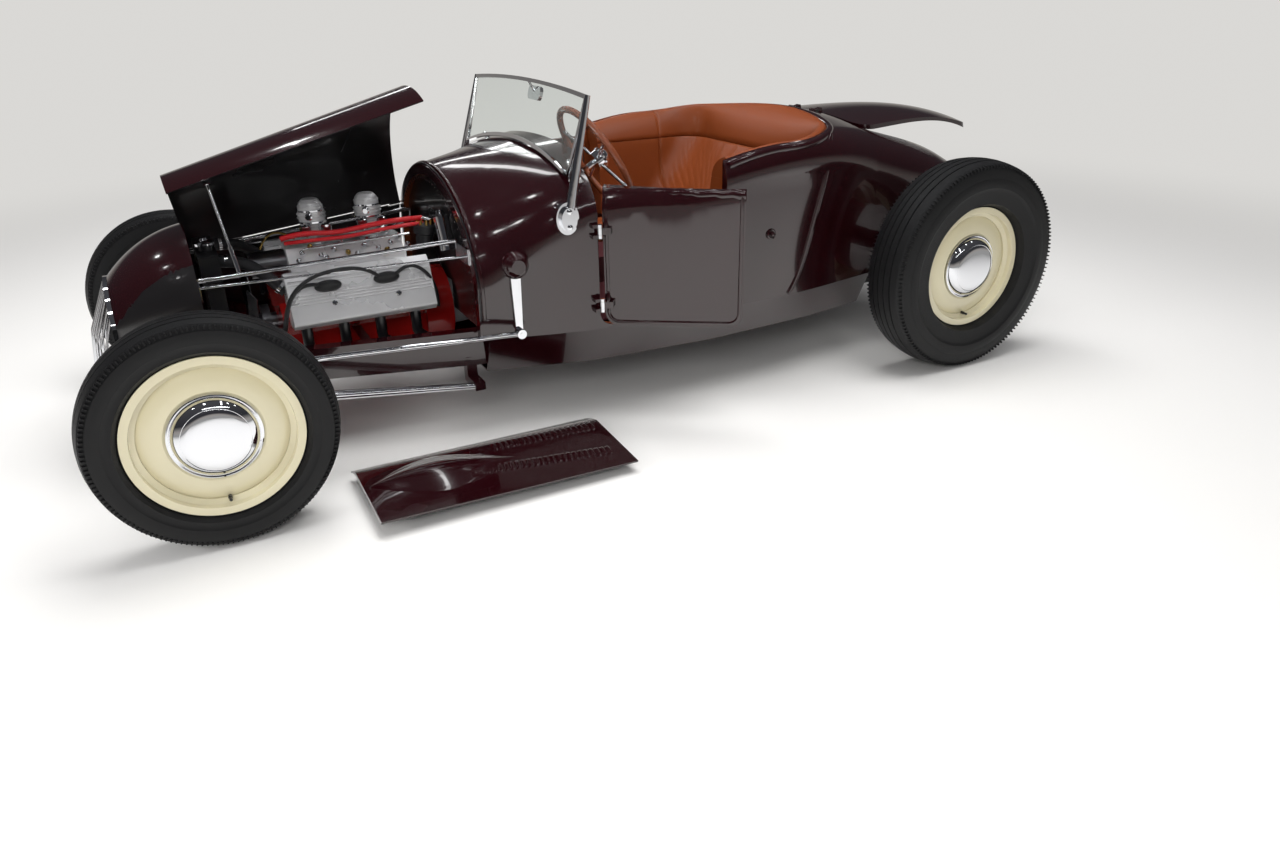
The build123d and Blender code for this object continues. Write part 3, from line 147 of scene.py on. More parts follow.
tree.links.new(mix.outputs[0], tree.nodes["Material Output"].inputs["Surface"])
floor_mesh.materials.append(floor_paint)
floor.location = (0, 0, cad_low.z)

world = bpy.data.worlds.new("studio")
scene.world = world
world.use_nodes = True
tree = world.node_tree
place = wired(tree, "ShaderNodeTexCoord").outputs["Generated"]
rise = wired(tree, "ShaderNodeSeparateXYZ", {0: place}).outputs["Z"]
domes = [
    # rise and colour at three levels, of the sky that lights the car and of the one that gloss mirrors
    ((0.02, far_pale), (0.25, (0.16, 0.16, 0.17, 1)), (0.7, (0.3, 0.3, 0.31, 1))),
    ((0.03, (0.32, 0.30, 0.28, 1)), (0.20, (0.03, 0.03, 0.034, 1)), (0.9, (0.06, 0.06, 0.065, 1))),
]
backgrounds = [tree.nodes["Background"], tree.nodes.new("ShaderNodeBackground")]
for background, levels in zip(backgrounds, domes):
    ramp = wired(tree, "ShaderNodeValToRGB", {"Fac": rise})
    stops = ramp.color_ramp.elements
    stops.new(levels[2][0])
    for stop, (level, colour) in zip(stops, levels):
        stop.position = level
        stop.color = colour
    tree.links.new(ramp.outputs["Color"], background.inputs["Color"])
    background.inputs["Strength"].default_value = 1.0
mirrored = mirrored_share(tree, wired(tree, "ShaderNodeLightPath").outputs)
skies = {"Fac": mirrored, 1: backgrounds[0].outputs[0], 2: backgrounds[1].outputs[0]}
mix = wired(tree, "ShaderNodeMixShader", skies)
tree.links.new(mix.outputs[0], tree.nodes["World Output"].inputs["Surface"])

soft_boxes = [
    # name, place, aim, width, depth, watts, mirrored by gloss
    ("overhead", (0.3, 0.2, 4.2), (0, 0, 0.4), 2.2, 4.5, 190.0, False),
    ("camera_side", (4.5, -2.6, 2.6), (0, -0.2, 0.4), 2.4, 1.2, 85.0, False),
    ("front", (1.2, -5.0, 2.4), (0, -1.0, 0.4), 2.0, 1.2, 60.0, False),
    ("far_side", (-4.2, 1.0, 3.0), (0, 0, 0.5), 3.5, 1.2, 70.0, False),
    ("strip_left", (0.9, 0.1, 3.6), (0.2, 0.1, 0.6), 0.16, 4.2, 9.0, True),
    ("strip_right", (-1.4, 0.1, 3.6), (-0.2, 0.1, 0.6), 0.16, 4.2, 9.0, True),
    ("strip_far", (-3.4, 0.6, 2.2), (0, 0.2, 0.6), 3.0, 0.14, 6.0, True),
    ("strip_near", (3.6, -0.4, 3.0), (0.3, -0.3, 0.6), 3.4, 0.10, 6.0, True),
]
ceiling_height, ceiling_size, ceiling_watts = 4.4, 0.22, 2.5
for row, x in enumerate((-2.2, 0.0, 2.2)):
    for column, y in enumerate((-3.6, -1.8, 1.8, 3.6)):
        name = "ceiling_%d_%d" % (row, column)
        place, aim = (x, y, ceiling_height), (x * 0.4, y * 0.4, 0.5)
        soft_boxes.append((name, place, aim, ceiling_size, ceiling_size, ceiling_watts, True))
for name, place, aim, width, depth, watts, mirrored in soft_boxes:
    lamp = bpy.data.lights.new(name, "AREA")
    lamp.shape = "RECTANGLE"
    lamp.size = width
    lamp.size_y = depth
    lamp.energy = watts
    lamp_object = placed(name, lamp)
    lamp_object.visible_glossy = mirrored
    turn = (car(*aim) - car(*place)).to_track_quat("-Z", "Y").to_matrix().to_4x4()
    lamp_object.matrix_world = Matrix.Translation(car(*place)) @ turn

# Running gear: welded rails, the dropped tube axle, rods and springs, in gloss paint over steel.
# Links and rods that turn are plated; the rear axle casting and the brakes are painted.
body_of = {node: body for body, nodes in frame["record"]["behaviour"]["bodies"].items() for node in nodes}


def surface_life():
    """Node group: slow colour drift, uneven polish and a fine grain for any finish."""
    group = bpy.data.node_groups.new("surface_life", "ShaderNodeTree")
    sockets = [
        # name, kind, first value
        ("Colour", "Color", None), ("Drift", "Float", 0.06), ("Drift Scale", "Float", 5.0),
        ("Roughness", "Float", 0.3), ("Uneven", "Float", 0.05),
        ("Grain Scale", "Float", 300.0), ("Grain Depth", "Float", 0.1),
    ]
    for name, kind, value in sockets:
        socket = group.interface.new_socket(name=name, in_out="INPUT", socket_type="NodeSocket" + kind)
        if value is not None:
            socket.default_value = value
    for name, kind in (("Colour", "Color"), ("Roughness", "Float"), ("Normal", "Vector")):
        group.interface.new_socket(name=name, in_out="OUTPUT", socket_type="NodeSocket" + kind)
    given = wired(group, "NodeGroupInput").outputs
    place = wired(group, "ShaderNodeTexCoord").outputs["Object"]
    slow = wired(group, "ShaderNodeTexNoise", {"Vector": place, "Scale": given["Drift Scale"], "Detail": 4.0})
    centred = calculated(group, "SUBTRACT", slow.outputs["Fac"], 0.5)
    drift = calculated(group, "MULTIPLY_ADD", centred, given["Drift"], 1.0)
    tint = wired(group, "ShaderNodeVectorMath", {0: given["Colour"], "Scale": drift}, operation="SCALE")
    polish = calculated(group, "MULTIPLY_ADD", centred, given["Uneven"], given["Roughness"])
    fine = wired(group, "ShaderNodeTexNoise", {"Vector": place, "Scale": given["Grain Scale"], "Detail": 3.0})
    grain = {"Strength": given["Grain Depth"], "Height": fine.outputs["Fac"], "Distance": 0.002}
    bump = wired(group, "ShaderNodeBump", grain).outputs["Normal"]
    wired(group, "NodeGroupOutput", {"Colour": tint.outputs["Vector"], "Roughness": polish, "Normal": bump})
    return group


life = surface_life()
coat_rough = 0.02


def finish_of(name, colour, rough, grain=(300.0, 0.05), drift=0.06, uneven=0.05, metal=0, coat=0, level=0.5):
    """A finish: shader values on the shader itself, what varies from the surface_life group."""
    material = bpy.data.materials.new(name)
    material.use_nodes = True
    tree = material.node_tree
    varied = {
        "Colour": (*colour, 1), "Drift": drift, "Roughness": rough, "Uneven": uneven,
        "Grain Scale": grain[0], "Grain Depth": grain[1],
    }
    group = wired(tree, "ShaderNodeGroup", varied, node_tree=life)
    shader = tree.nodes["Principled BSDF"].inputs
    fixed = {
        "Metallic": metal, "Coat Weight": coat, "Coat Roughness": coat_rough, "Specular IOR Level": level,
    }
    for key, value in fixed.items():
        shader[key].default_value = value
    for output, socket in (("Colour", "Base Color"), ("Roughness", "Roughness"), ("Normal", "Normal")):
        tree.links.new(group.outputs[output], shader[socket])
    return material


maroon = finish_of("maroon_lacquer", (0.0135, 0.0011, 0.0022), 0.16, (900.0, 0.012), coat=1.0, drift=0.25)
satin_black = finish_of("satin_black", (0.006, 0.006, 0.007), 0.3, (500.0, 0.05), coat=0.3, drift=0.2)
chrome = finish_of("chrome_plate", (0.86, 0.87, 0.9), 0.05, (200.0, 0.01), metal=1.0, drift=0.03, uneven=0.03)
cast = finish_of("cast_aluminium", (0.66, 0.66, 0.67), 0.28, (600.0, 0.25), metal=0.6, drift=0.2, uneven=0.16)
steel = finish_of("machined_steel", (0.3, 0.3, 0.32), 0.28, (350.0, 0.08), metal=1.0, drift=0.1, uneven=0.1)
engine_red = finish_of("engine_red", (0.24, 0.006, 0.005), 0.2, (350.0, 0.12), coat=0.8, drift=0.12)
crease_angle = radians(28)
weld_reach = 0.00002


def shaded(work, crease=crease_angle):
    """Smooth shading on all faces, with hard edges where they meet at more than the crease angle."""
    for face in work.faces:
        face.smooth = True
    for edge in work.edges:
        edge.smooth = len(edge.link_faces) == 2 and edge.calc_face_angle() < crease


def carried(piece, body, node=None):
    """Give a piece its body, and hide the CAD node that it stands for."""
    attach(piece, body)
    if node:
        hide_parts(node)
    return piece


def dressed(node, material, second=None, picks=None):
    """A smooth-shaded copy of a CAD node with its finish, and a second one where picks says so."""
    mesh = frame["nodes"][node].data.copy()
    mesh.materials.clear()
    mesh.materials.append(material)
    if second:
        mesh.materials.append(second)
    work = bmesh.new()
    work.from_mesh(mesh)
    bmesh.ops.remove_doubles(work, verts=work.verts, dist=weld_reach)
    for face in work.faces:
        face.material_index = 1 if picks and picks(face.calc_center_median(), face.normal) else 0
    shaded(work)
    work.to_mesh(mesh)
    work.free()
    return carried(placed(node + "_finish", mesh), body_of[node], node)


running_gear = [
    # node, finish
    ("frame", maroon), ("front_axle", maroon), ("radius_rods", chrome), ("rear_axle", maroon),
    ("springs", satin_black), ("driveshaft", satin_black), ("exhaust", satin_black), ("belly_pan", maroon),
    ("tie_rod", chrome), ("drag_link", chrome), ("pitman_arm", chrome), ("steering_dome", maroon),
    ("gearbox", cast), ("steering_gear", cast), ("radiator", satin_black), ("engine_drive", steel),
]
for node, finish in running_gear:
    dressed(node, finish)
hands = (("left", 1), ("right", -1))
for hand, sign in hands:
    dressed("knuckle_" + hand, maroon)

# Tyres: bias-ply rubber on 16-inch rims, with five tread ribs and cut shoulders.
# The carcass is turned from one outline; the shoulder lugs are set round it.
rubber_grey = (0.0085, 0.0085, 0.009)
tyre_rubber = finish_of("tyre_rubber", rubber_grey, 0.5, (700.0, 0.25), drift=0.25, uneven=0.12, level=0.3)


def made(name, work, *materials):
    """An object from a bmesh, with its finishes."""
    mesh = bpy.data.meshes.new(name)
    work.to_mesh(mesh)
    work.free()
    for material in materials:
        mesh.materials.append(material)
    return placed(name, mesh)


def skinned(work, rows, round_rows=False, round_each=False):
    """Faces between neighbouring rows of vertices, closed round the rows or round each one where asked."""
    for first, second in zip(rows, rows[1:] + rows[:1] if round_rows else rows[1:]):
        count = len(first)
        for index in range(count if round_each else count - 1):
            after = (index + 1) % count
            work.faces.new((first[index], first[after], second[after], second[index]))


def spun(name, outline, centre, steps, material, loop=True, facing=1):
    """A turned part: an outline of (along X, radius) points swept about the X axis through its centre."""
    work = bmesh.new()
    rings = []
    for step in range(steps):
        angle = tau * step / steps
        ring = [(along * facing, radius * cos(angle), radius * sin(angle)) for along, radius in outline]
        rings.append([work.verts.new(centre + Vector(place)) for place in ring])
    skinned(work, rings, True, loop)
    bmesh.ops.remove_doubles(work, verts=work.verts, dist=weld_reach / 2)
    bmesh.ops.recalc_face_normals(work, faces=work.faces)
    shaded(work)
    return made(name, work, material)


def repeat_tree():
    """Geometry nodes: set a piece along a line, its Z on the line and its X away from a centre."""
    tree = bpy.data.node_groups.new("set_along_line", "GeometryNodeTree")
    sockets = [
        ("Line", "INPUT", "Geometry"), ("Count", "INPUT", "Int"), ("Piece", "INPUT", "Object"),
        ("Centre", "INPUT", "Vector"), ("Finish", "INPUT", "Material"), ("Pieces", "OUTPUT", "Geometry"),
    ]
    for name, way, kind in sockets:
        tree.interface.new_socket(name=name, in_out=way, socket_type="NodeSocket" + kind)
    given = wired(tree, "NodeGroupInput").outputs
    line = {"Curve": given["Line"], "Count": given["Count"]}
    points = wired(tree, "GeometryNodeCurveToPoints", line, mode="COUNT").outputs
    align = "FunctionNodeAlignRotationToVector"
    along = wired(tree, align, {"Vector": points["Tangent"]}, axis="Z").outputs["Rotation"]
    place = wired(tree, "GeometryNodeInputPosition").outputs[0]
    outward = wired(tree, "ShaderNodeVectorMath", {0: place, 1: given["Centre"]}, operation="SUBTRACT")
    turning = {"Rotation": along, "Vector": outward.outputs[0]}
    facing = wired(tree, align, turning, axis="X", pivot_axis="Z").outputs["Rotation"]
    piece = wired(tree, "GeometryNodeObjectInfo", {"Object": given["Piece"]}).outputs["Geometry"]
    setting = {"Points": points["Points"], "Instance": piece, "Rotation": facing}
    copies = wired(tree, "GeometryNodeInstanceOnPoints", setting).outputs["Instances"]
    real = wired(tree, "GeometryNodeRealizeInstances", {"Geometry": copies}).outputs["Geometry"]
    finish = wired(tree, "GeometryNodeSetMaterial", {"Geometry": real, "Material": given["Finish"]})
    wired(tree, "NodeGroupOutput", {"Pieces": finish.outputs["Geometry"]})
    return tree


along_line = repeat_tree()


def settled(holder, name):
    """The evaluated object as a plain mesh piece under a new name; the holder is removed."""
    bpy.context.view_layer.update()
    graph = bpy.context.evaluated_depsgraph_get()
    mesh = bpy.data.meshes.new_from_object(holder.evaluated_get(graph))
    mesh.name = name
    piece = placed(name, mesh)
    bpy.data.objects.remove(holder)
    return piece


def curve_through(name, points, kind="POLY", closed=False):
    """A curve object through points."""
    line = bpy.data.curves.new(name, "CURVE")
    line.dimensions = "3D"
    spline = line.splines.new(kind)
    spline.points.add(len(points) - 1)
    for point, place in zip(spline.points, points):
        point.co = (*place, 1)
    spline.use_cyclic_u = closed
    return placed(name + "_line", line)


def repeated(name, points, piece, count, centre, material, closed=False):
    """Copies of a small piece set along a line of points with the geometry nodes above."""
    holder = curve_through(name, points, closed=closed)
    modifier = holder.modifiers.new("set", "NODES")
    modifier.node_group = along_line
    given = {"Count": count, "Piece": piece, "Centre": tuple(centre), "Finish": material}
    for socket in along_line.interface.items_tree:
        if socket.in_out == "INPUT" and socket.name in given:
            modifier[socket.identifier] = given[socket.name]
    return settled(holder, name)


def small_block(name, x0, x1, y0, y1, z0, z1, taper=1.0):
    """A block for the repeat nodes, tapered towards its +X face."""
    work = bmesh.new()
    corners = []
    for x, share in ((x0, 1.0), (x1, taper)):
        for y, z in ((y0, z0), (y1, z0), (y1, z1), (y0, z1)):
            corners.append(work.verts.new((x, y * share, z * share)))
    for quad in ((0, 3, 2, 1), (4, 5, 6, 7), (0, 1, 5, 4), (1, 2, 6, 5), (2, 3, 7, 6), (3, 0, 4, 7)):
        work.faces.new([corners[index] for index in quad])
    piece = made(name, work)
    piece.hide_render = True
    return piece


def circle_points(centre, radius, along, count=96):
    """Points round the X axis at a distance along it."""
    angles = [tau * index / count for index in range(count)]
    return [centre + Vector((along, radius * cos(angle), radius * sin(angle))) for angle in angles]


def joined(name, pieces):
    """One object from several, keeping each one's finish."""
    work = bmesh.new()
    materials = []
    for piece in pieces:
        start = len(work.faces)
        work.from_mesh(piece.data)
        work.faces.ensure_lookup_table()
        for face in work.faces[start:]:
            material = piece.data.materials[face.material_index]
            if material not in materials:
                materials.append(material)
            face.material_index = materials.index(material)
    for piece in pieces:
        bpy.data.objects.remove(piece)
    return made(name, work, *materials)


tread_ribs = 5
groove_depth = 0.0055
rim_flange = 0.221
crown_drop = 0.009
for end in ("front", "rear"):
    low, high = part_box("tyre_" + end + "_left")
    half_width = (high.x - low.x) / 2
    radius = (high.z - low.z) / 2
    wide = (radius + rim_flange) / 2
    tread = 0.74 * half_width
    shoulder = radius - crown_drop
    side = [
        # along the axle, radius; from the bead to the tread's edge
        (0.050, 0.2075), (0.0515, 0.2225), (0.056, 0.2265), (0.0605, 0.2268),
        (0.66 * half_width + 0.022, 0.236), (0.93 * half_width, wide - 0.024),
        (0.97 * half_width, wide - 0.012), (0.985 * half_width, wide - 0.0105), (0.998 * half_width, wide),
        (0.992 * half_width, wide + 0.012), (0.965 * half_width, wide + 0.022),
        (0.955 * half_width, wide + 0.0225), (0.93 * half_width, shoulder - 0.024),
        (0.87 * half_width, shoulder - 0.010), (tread + 0.003, shoulder - 0.001),
    ]
    crown = []
    rib_pitch = 2 * tread / tread_ribs
    for rib in range(tread_ribs):
        for share, sunk in ((0.06, 1), (0.10, 0), (0.9, 0), (0.94, 1)):
            x = tread - (rib + share) * rib_pitch
            groove = groove_depth if sunk and 0 < rib + share < tread_ribs - 0.08 else 0
            crown.append((x, radius - crown_drop * (x / tread) ** 2 - groove))
    outline = side + crown[1:-1] + [(-x, r) for x, r in reversed(side)]
    lug = small_block("lug", -0.006, 0.0022, -0.011, 0.011, -0.0021, 0.0021, 0.8)
    for hand, sign in hands:
        node = "tyre_" + end + "_" + hand
        low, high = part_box(node)
        centre = (low + high) / 2
        rows = [spun("carcass", outline, centre, 144, tyre_rubber)]
        for along in (-1, 1):
            place = along * (0.84 * half_width)
            ring = circle_points(centre, shoulder - 0.0065, place)
            anchor = centre + Vector((0.3 * place, 0, 0))
            rows.append(repeated("lugs", ring, lug, 150, anchor, tyre_rubber, closed=True))
        carried(joined(node + "_rubber", rows), body_of[node], node)
    bpy.data.objects.remove(lug)

# Wheels: pressed steel discs in cream enamel with four short slots, each painted on as a dark strip of shade,
# and a valve stem.
# Plated domed caps, with a rolled edge and a raised middle, press into the disc.
cream = finish_of("cream_enamel", (0.70, 0.64, 0.44), 0.2, (400.0, 0.03), coat=0.7, drift=0.05)
# painted shade: a near-black finish for the strips that stand in for the dark insides of the wheels' slots
slot_painted_shade = finish_of("slot_shadow", (0.004, 0.004, 0.004), 0.6, drift=0.1)
cap_outline = [
    (0.0410, 0.1165), (0.0440, 0.1178), (0.0475, 0.1165), (0.0490, 0.1135), (0.0478, 0.1100),
    (0.0485, 0.1085), (0.0580, 0.1035), (0.0660, 0.0950), (0.0708, 0.0865), (0.0700, 0.0850),
    (0.0712, 0.0835), (0.0745, 0.0720),
    (0.0768, 0.0550), (0.0782, 0.0350), (0.0790, 0.0150), (0.0792, 0.0),
    (0.0765, 0.0), (0.0740, 0.0550), (0.0640, 0.0860), (0.0470, 0.1070), (0.0415, 0.1140),
]
valve_outline = [
    (0.0, 0.0), (0.0, 0.0055), (0.012, 0.0055), (0.013, 0.0042), (0.026, 0.0042), (0.027, 0.003),
    (0.027, 0.0),
]
slot_radius = 0.162
slot_arc = radians(34)
slot_half_width = 0.0026
stem_out, stem_down = 0.036, 0.180


def slot_shade_strip(centre, sign, middle):
    """A strip of painted shade on a wheel disc's face where one of its slots is; the slot itself is not cut.
    """
    work = bmesh.new()
    strip = []
    for step in range(15):
        angle = middle + slot_arc * (step / 14 - 0.5)
        narrow = 1 - abs(step / 7 - 1) ** 6
        pair = []
        for across in (-slot_half_width, slot_half_width):
            r = slot_radius + across * narrow
            depth = 0.0388 - (r - 0.150) / 0.024 * 0.008 + 0.0004
            pair.append(work.verts.new(centre + Vector((sign * depth, r * cos(angle), r * sin(angle)))))
        strip.append(pair)
    skinned(work, strip)
    for face in work.faces:
        face.normal_update()
        if face.normal.x * sign < 0:
            face.normal_flip()
    return made("slot", work, slot_painted_shade)


for end in ("front", "rear"):
    for hand, sign in hands:
        node = "wheel_" + end + "_" + hand
        dressed(node, cream)
        low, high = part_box(node)
        centre = (low + high) / 2
        body = body_of[node]
        # the four slots are strips of painted shade laid on the disc, not holes
        slots = [slot_shade_strip(centre, sign, radians(45 + 90 * quarter)) for quarter in range(4)]
        carried(joined(node + "_slots", slots), body)
        cap_node = "hub_cap_" + end + "_" + hand
        cap = spun(cap_node + "_plated", cap_outline, centre, 96, chrome, facing=sign)
        carried(cap, body, cap_node)
        stem_place = centre + Vector((sign * stem_out, 0, -stem_down))
        stem = spun(node + "_valve", valve_outline, stem_place, 20, satin_black, loop=False, facing=sign)
        carried(stem, body)

# Body: steel cowl, tub and turtle deck in deep maroon lacquer, trimmed inside with saddle leather.
# Doors and lid are cut from the same form; beads are raised out of the sheet before paint.
leather = finish_of("saddle_leather", (0.175, 0.038, 0.0085), 0.36, (420.0, 0.22), drift=0.22, uneven=0.14)
underside = finish_of("underside_black", (0.008, 0.007, 0.0075), 0.28, (260.0, 0.06), coat=0.5, drift=0.3)
carpet = finish_of("wool_carpet", (0.05, 0.009, 0.012), 0.95, (1100.0, 1.0), drift=0.4)
body_axis_height = 0.45
hinge_x, hinge_y = 0.566, -0.110
hinge_reach = 0.0095
door_turn = radians(32)


def faces_in(place, normal):
    """True where a face of the body looks towards the car's middle."""
    outward = Vector((place.x - car_x, 0, place.z - body_axis_height)).normalized()
    return normal.dot(outward) < -0.15 or (abs(normal.x) > 0.7 and abs(place.x - car_x) < 0.3)


def door_faces_in(place, normal):
    """True on the trimmed side of the left door, which stands open."""
    return normal.dot(Vector((cos(door_turn), sin(door_turn), 0))) < -0.55


def hinge_plated(piece):
    """Plate the barrels of a panel's door hinges."""
    piece.data.materials.append(chrome)
    slot = len(piece.data.materials) - 1
    for face in piece.data.polygons:
        away = Vector((abs(face.center.x - car_x) - hinge_x, face.center.y - car_y - hinge_y))
        if away.length < hinge_reach:
            face.material_index = slot


body_panels = [
    # node, outer finish, inner finish, where the inner one is
    ("cowl", maroon, leather, faces_in),
    ("tub", maroon, leather, faces_in),
    ("turtle_deck", maroon, underside, faces_in),
    ("floor_pan", carpet, None, None),
    ("firewall", underside, None, None),
    ("door_left", maroon, leather, door_faces_in),
    ("door_right", maroon, leather, lambda place, normal: normal.x > 0.55),
    ("deck_lid", maroon, underside, lambda place, normal: normal.z < -0.3),
]
for node, outer, inner, picks in body_panels:
    panel = dressed(node, outer, inner, picks)
    if node in ("cowl", "door_left", "door_right"):
        hinge_plated(panel)


def surface_of(node):
    """A ray-casting tree over a CAD node's mesh."""
    mesh = frame["nodes"][node].data
    places = [vertex.co for vertex in mesh.vertices]
    return BVHTree.FromPolygons(places, [tuple(face.vertices) for face in mesh.polygons])


body_tree = surface_of("tub")
cowl_tree = surface_of("cowl")
down = Vector((0, 0, -1))


def on_side(tree, y, z, sign):
    """The outer surface of the body at a distance along it and a height."""
    return tree.ray_cast(car(sign * 1.2, y, z), Vector((-sign, 0, 0)), 1.2)[0]


def piped(name, points, radius, material, body, smooth=True, sides=5, closed=False):
    """A round bar, tube or bead through points, as a mesh that rides on a body."""
    holder = curve_through(name, points, "NURBS" if smooth else "POLY", closed)
    line = holder.data
    line.bevel_depth = radius
    line.bevel_resolution = sides
    line.use_fill_caps = True
    line.resolution_u = 8
    if smooth:
        line.splines[0].order_u = 4 if len(points) > 3 else 3
        line.splines[0].use_endpoint_u = not closed
    line.materials.append(material)
    piece = settled(holder, name)
    for face in piece.data.polygons:
        face.use_smooth = True
    return carried(piece, body) if body else piece


def beaded(name, points, radius, body="chassis"):
    """A bead of sheet steel in the body's lacquer, straight between its points."""
    return piped(name, points, radius, maroon, body, smooth=False)


def fan(first, last, count=48):
    """Directions across the car, evenly spaced from one angle to another."""
    angles = [first + (last - first) * step / count for step in range(count + 1)]
    return [Vector((cos(angle), 0, sin(angle))) for angle in angles]


def under_cowl(y, z, aims, foot, inset):
    """Points a little off the cowl's inner face and above its foot, seen from the middle of the car."""
    hits = [(cowl_tree.ray_cast(car(0, y, z), aim, 1.2)[0], aim) for aim in aims]
    return [hit - aim * inset for hit, aim in hits if hit and hit.z > foot]


quarter_radius, quarter_sunk = 0.014, 0.007
quarter_bead = [
    # distance along the body, height
    (0.815, 0.870), (0.776, 0.80), (0.748, 0.68), (0.723, 0.575), (0.703, 0.477), (0.668, 0.376),
    (0.635, 0.337),
]
for hand, sign in hands:
    sunk = Vector((sign * quarter_sunk, 0, 0))
    points = [on_side(body_tree, y, z, sign) - sunk for y, z in quarter_bead]
    piped("quarter_bead_" + hand, points, quarter_radius, maroon, "chassis")

hoop_bead_y = -0.474
hoop_middle_z = 0.40
hoop_bead_radius, hoop_bead_sunk = 0.0075, 0.001
seat_trim_radius, seat_trim_ahead = 0.0028, 0.0105
hoop = []
for aim in fan(0, pi):
    hit = cowl_tree.ray_cast(car(0, hoop_bead_y, hoop_middle_z) + aim * 1.2, -aim, 1.2)[0]
    if hit:
        hoop.append(hit - aim * hoop_bead_sunk)
beaded("cowl_bead", hoop, hoop_bead_radius)
seat_line = [point + Vector((0, -seat_trim_ahead, 0)) for point in hoop]
piped("hood_seat_trim", seat_line, seat_trim_radius, satin_black, "chassis", smooth=False)


def cockpit_plan(grow):
    """The cockpit's edge in plan, from its right front round the back to its left front."""
    arcs = [
        # centre x, centre y, radius, first and last angle in degrees
        (0.0, 0.1378, 0.8472, 90.0, 63.35),
        (0.2401, 0.6163, 0.3119, 63.35, 0.0),
        (-0.5229, 0.3400, 1.0749, 0.0, -21.96),
    ]
    half = []
    for centre_x, centre_y, radius, first, last in arcs:
        if last < 0:
            half.extend((0.552 + grow, 0.617 - 0.277 * step / 12) for step in range(12))
        for step in range(22):
            angle = radians(first + (last - first) * step / 22)
            half.append((centre_x + (radius + grow) * cos(angle), centre_y + (radius + grow) * sin(angle)))
    return [(-x, y) for x, y in reversed(half[1:])] + half


def crown_height(x, y):
    """Height of the body's outer skin over a point, just outside the cockpit's edge."""
    hit = body_tree.ray_cast(car(x, y, 1.5), down, 1.2)[0]
    return hit.z if hit else None


door_back_y = 0.356
rim_radius, rim_sunk, rim_outside = 0.0145, 0.0075, 0.011
rim_line = []
for x, y in cockpit_plan(rim_outside):
    height = crown_height(x, y) if y > door_back_y else None
    if height:
        rim_line.append(car(x, y, height - rim_sunk))
beaded("cockpit_rim", rim_line, rim_radius)

# Nose, hood and grille: beaten steel panels in the body's lacquer, black inside; plated upright bars.
# The hood is hinged along its right edge and held up by a plated prop; louvres are punched in the sides.
hinge_front = (-0.248, -1.262, 0.583)
hinge_back = (-0.4135, -0.490, 0.630)
hood_turn = radians(32)


def hood_faces_in(place, normal):
    """True on the underside of the raised hood."""
    share = (place.y - car_y - hinge_front[1]) / (hinge_back[1] - hinge_front[1])
    pivot_x = hinge_front[0] + share * (hinge_back[0] - hinge_front[0]) + car_x
    pivot_z = hinge_front[2] + share * (hinge_back[2] - hinge_front[2])
    across, fall = car_x - pivot_x, 0.40 - pivot_z
    middle_x = pivot_x + across * cos(hood_turn) - fall * sin(hood_turn)
    middle_z = pivot_z + across * sin(hood_turn) + fall * cos(hood_turn)
    outward = Vector((place.x - middle_x, 0, place.z - middle_z)).normalized()
    return normal.dot(outward) < 0.2


dressed("nose_shell", maroon, underside, faces_in)
dressed("grille", chrome)
dressed("hood_stays", chrome)
dressed("hood_side_right", maroon, underside, faces_in)
dressed("hood_top", maroon, underside, hood_faces_in)
dressed("hood_side_left", maroon, underside, lambda place, normal: normal.z < -0.35)
hood_tree = surface_of("hood_top")
panel_tree = surface_of("hood_side_left")


def facing_up(work, axis):
    """Smooth faces that look mostly along an axis."""
    for face in work.faces:
        face.smooth = True
    bmesh.ops.recalc_face_normals(work, faces=work.faces)
    if sum(face.normal[axis] for face in work.faces) < 0:
        bmesh.ops.reverse_faces(work, faces=work.faces)


def louvre_piece(length, pitch, height):
    """One punched louvre, X up, Y along its mouth, Z along the row."""
    work = bmesh.new()
    rows = []
    for step in range(13):
        across = step / 6 - 1
        lift = max(0.0, 1 - across ** 4) ** 0.5
        row = []
        for along, share in ((-0.42, 0.0), (-0.2, 0.45), (0.1, 0.85), (0.36, 1.0), (0.42, 0.8), (0.43, 0.0)):
            row.append(work.verts.new((height * share * lift - 0.0006, across * length / 2, along * pitch)))
        rows.append(row)
    skinned(work, rows)
    facing_up(work, 0)
    return made("louvre", work)


def dropped(tree, points):
    """Points moved down on to a surface."""
    hits = [tree.ray_cast(car(x, y, 0.5), down, 1.0)[0] for x, y in points]
    return [hit for hit in hits if hit]


louvre = louvre_piece(0.058, 0.0165, 0.0065)
far_off = 60
louvre_rows = [
    # name, first and last point, count
    ("far", (0.650, -0.545), (0.662, -0.215), 19),
    ("near", (0.775, -0.665), (0.835, -0.235), 25),
]
for name, start, end, count in louvre_rows:
    run = [Vector(start).lerp(Vector(end), step / 12) for step in range(13)]
    below = car(start[0], start[1], -far_off)
    row = repeated("loose_side_louvres_" + name, dropped(panel_tree, run), louvre, count, below, maroon)
    carried(row, "chassis")
right_tree = surface_of("hood_side_right")
for name, height in (("upper", 0.50), ("lower", 0.37)):
    run = [on_side(right_tree, -0.98 + 0.40 * step / 12, height, -1) for step in range(13)]
    row = repeated("right_side_louvres_" + name, run, louvre, 24, car(far_off, -0.8, height), maroon)
    carried(row, "chassis")
bpy.data.objects.remove(louvre)

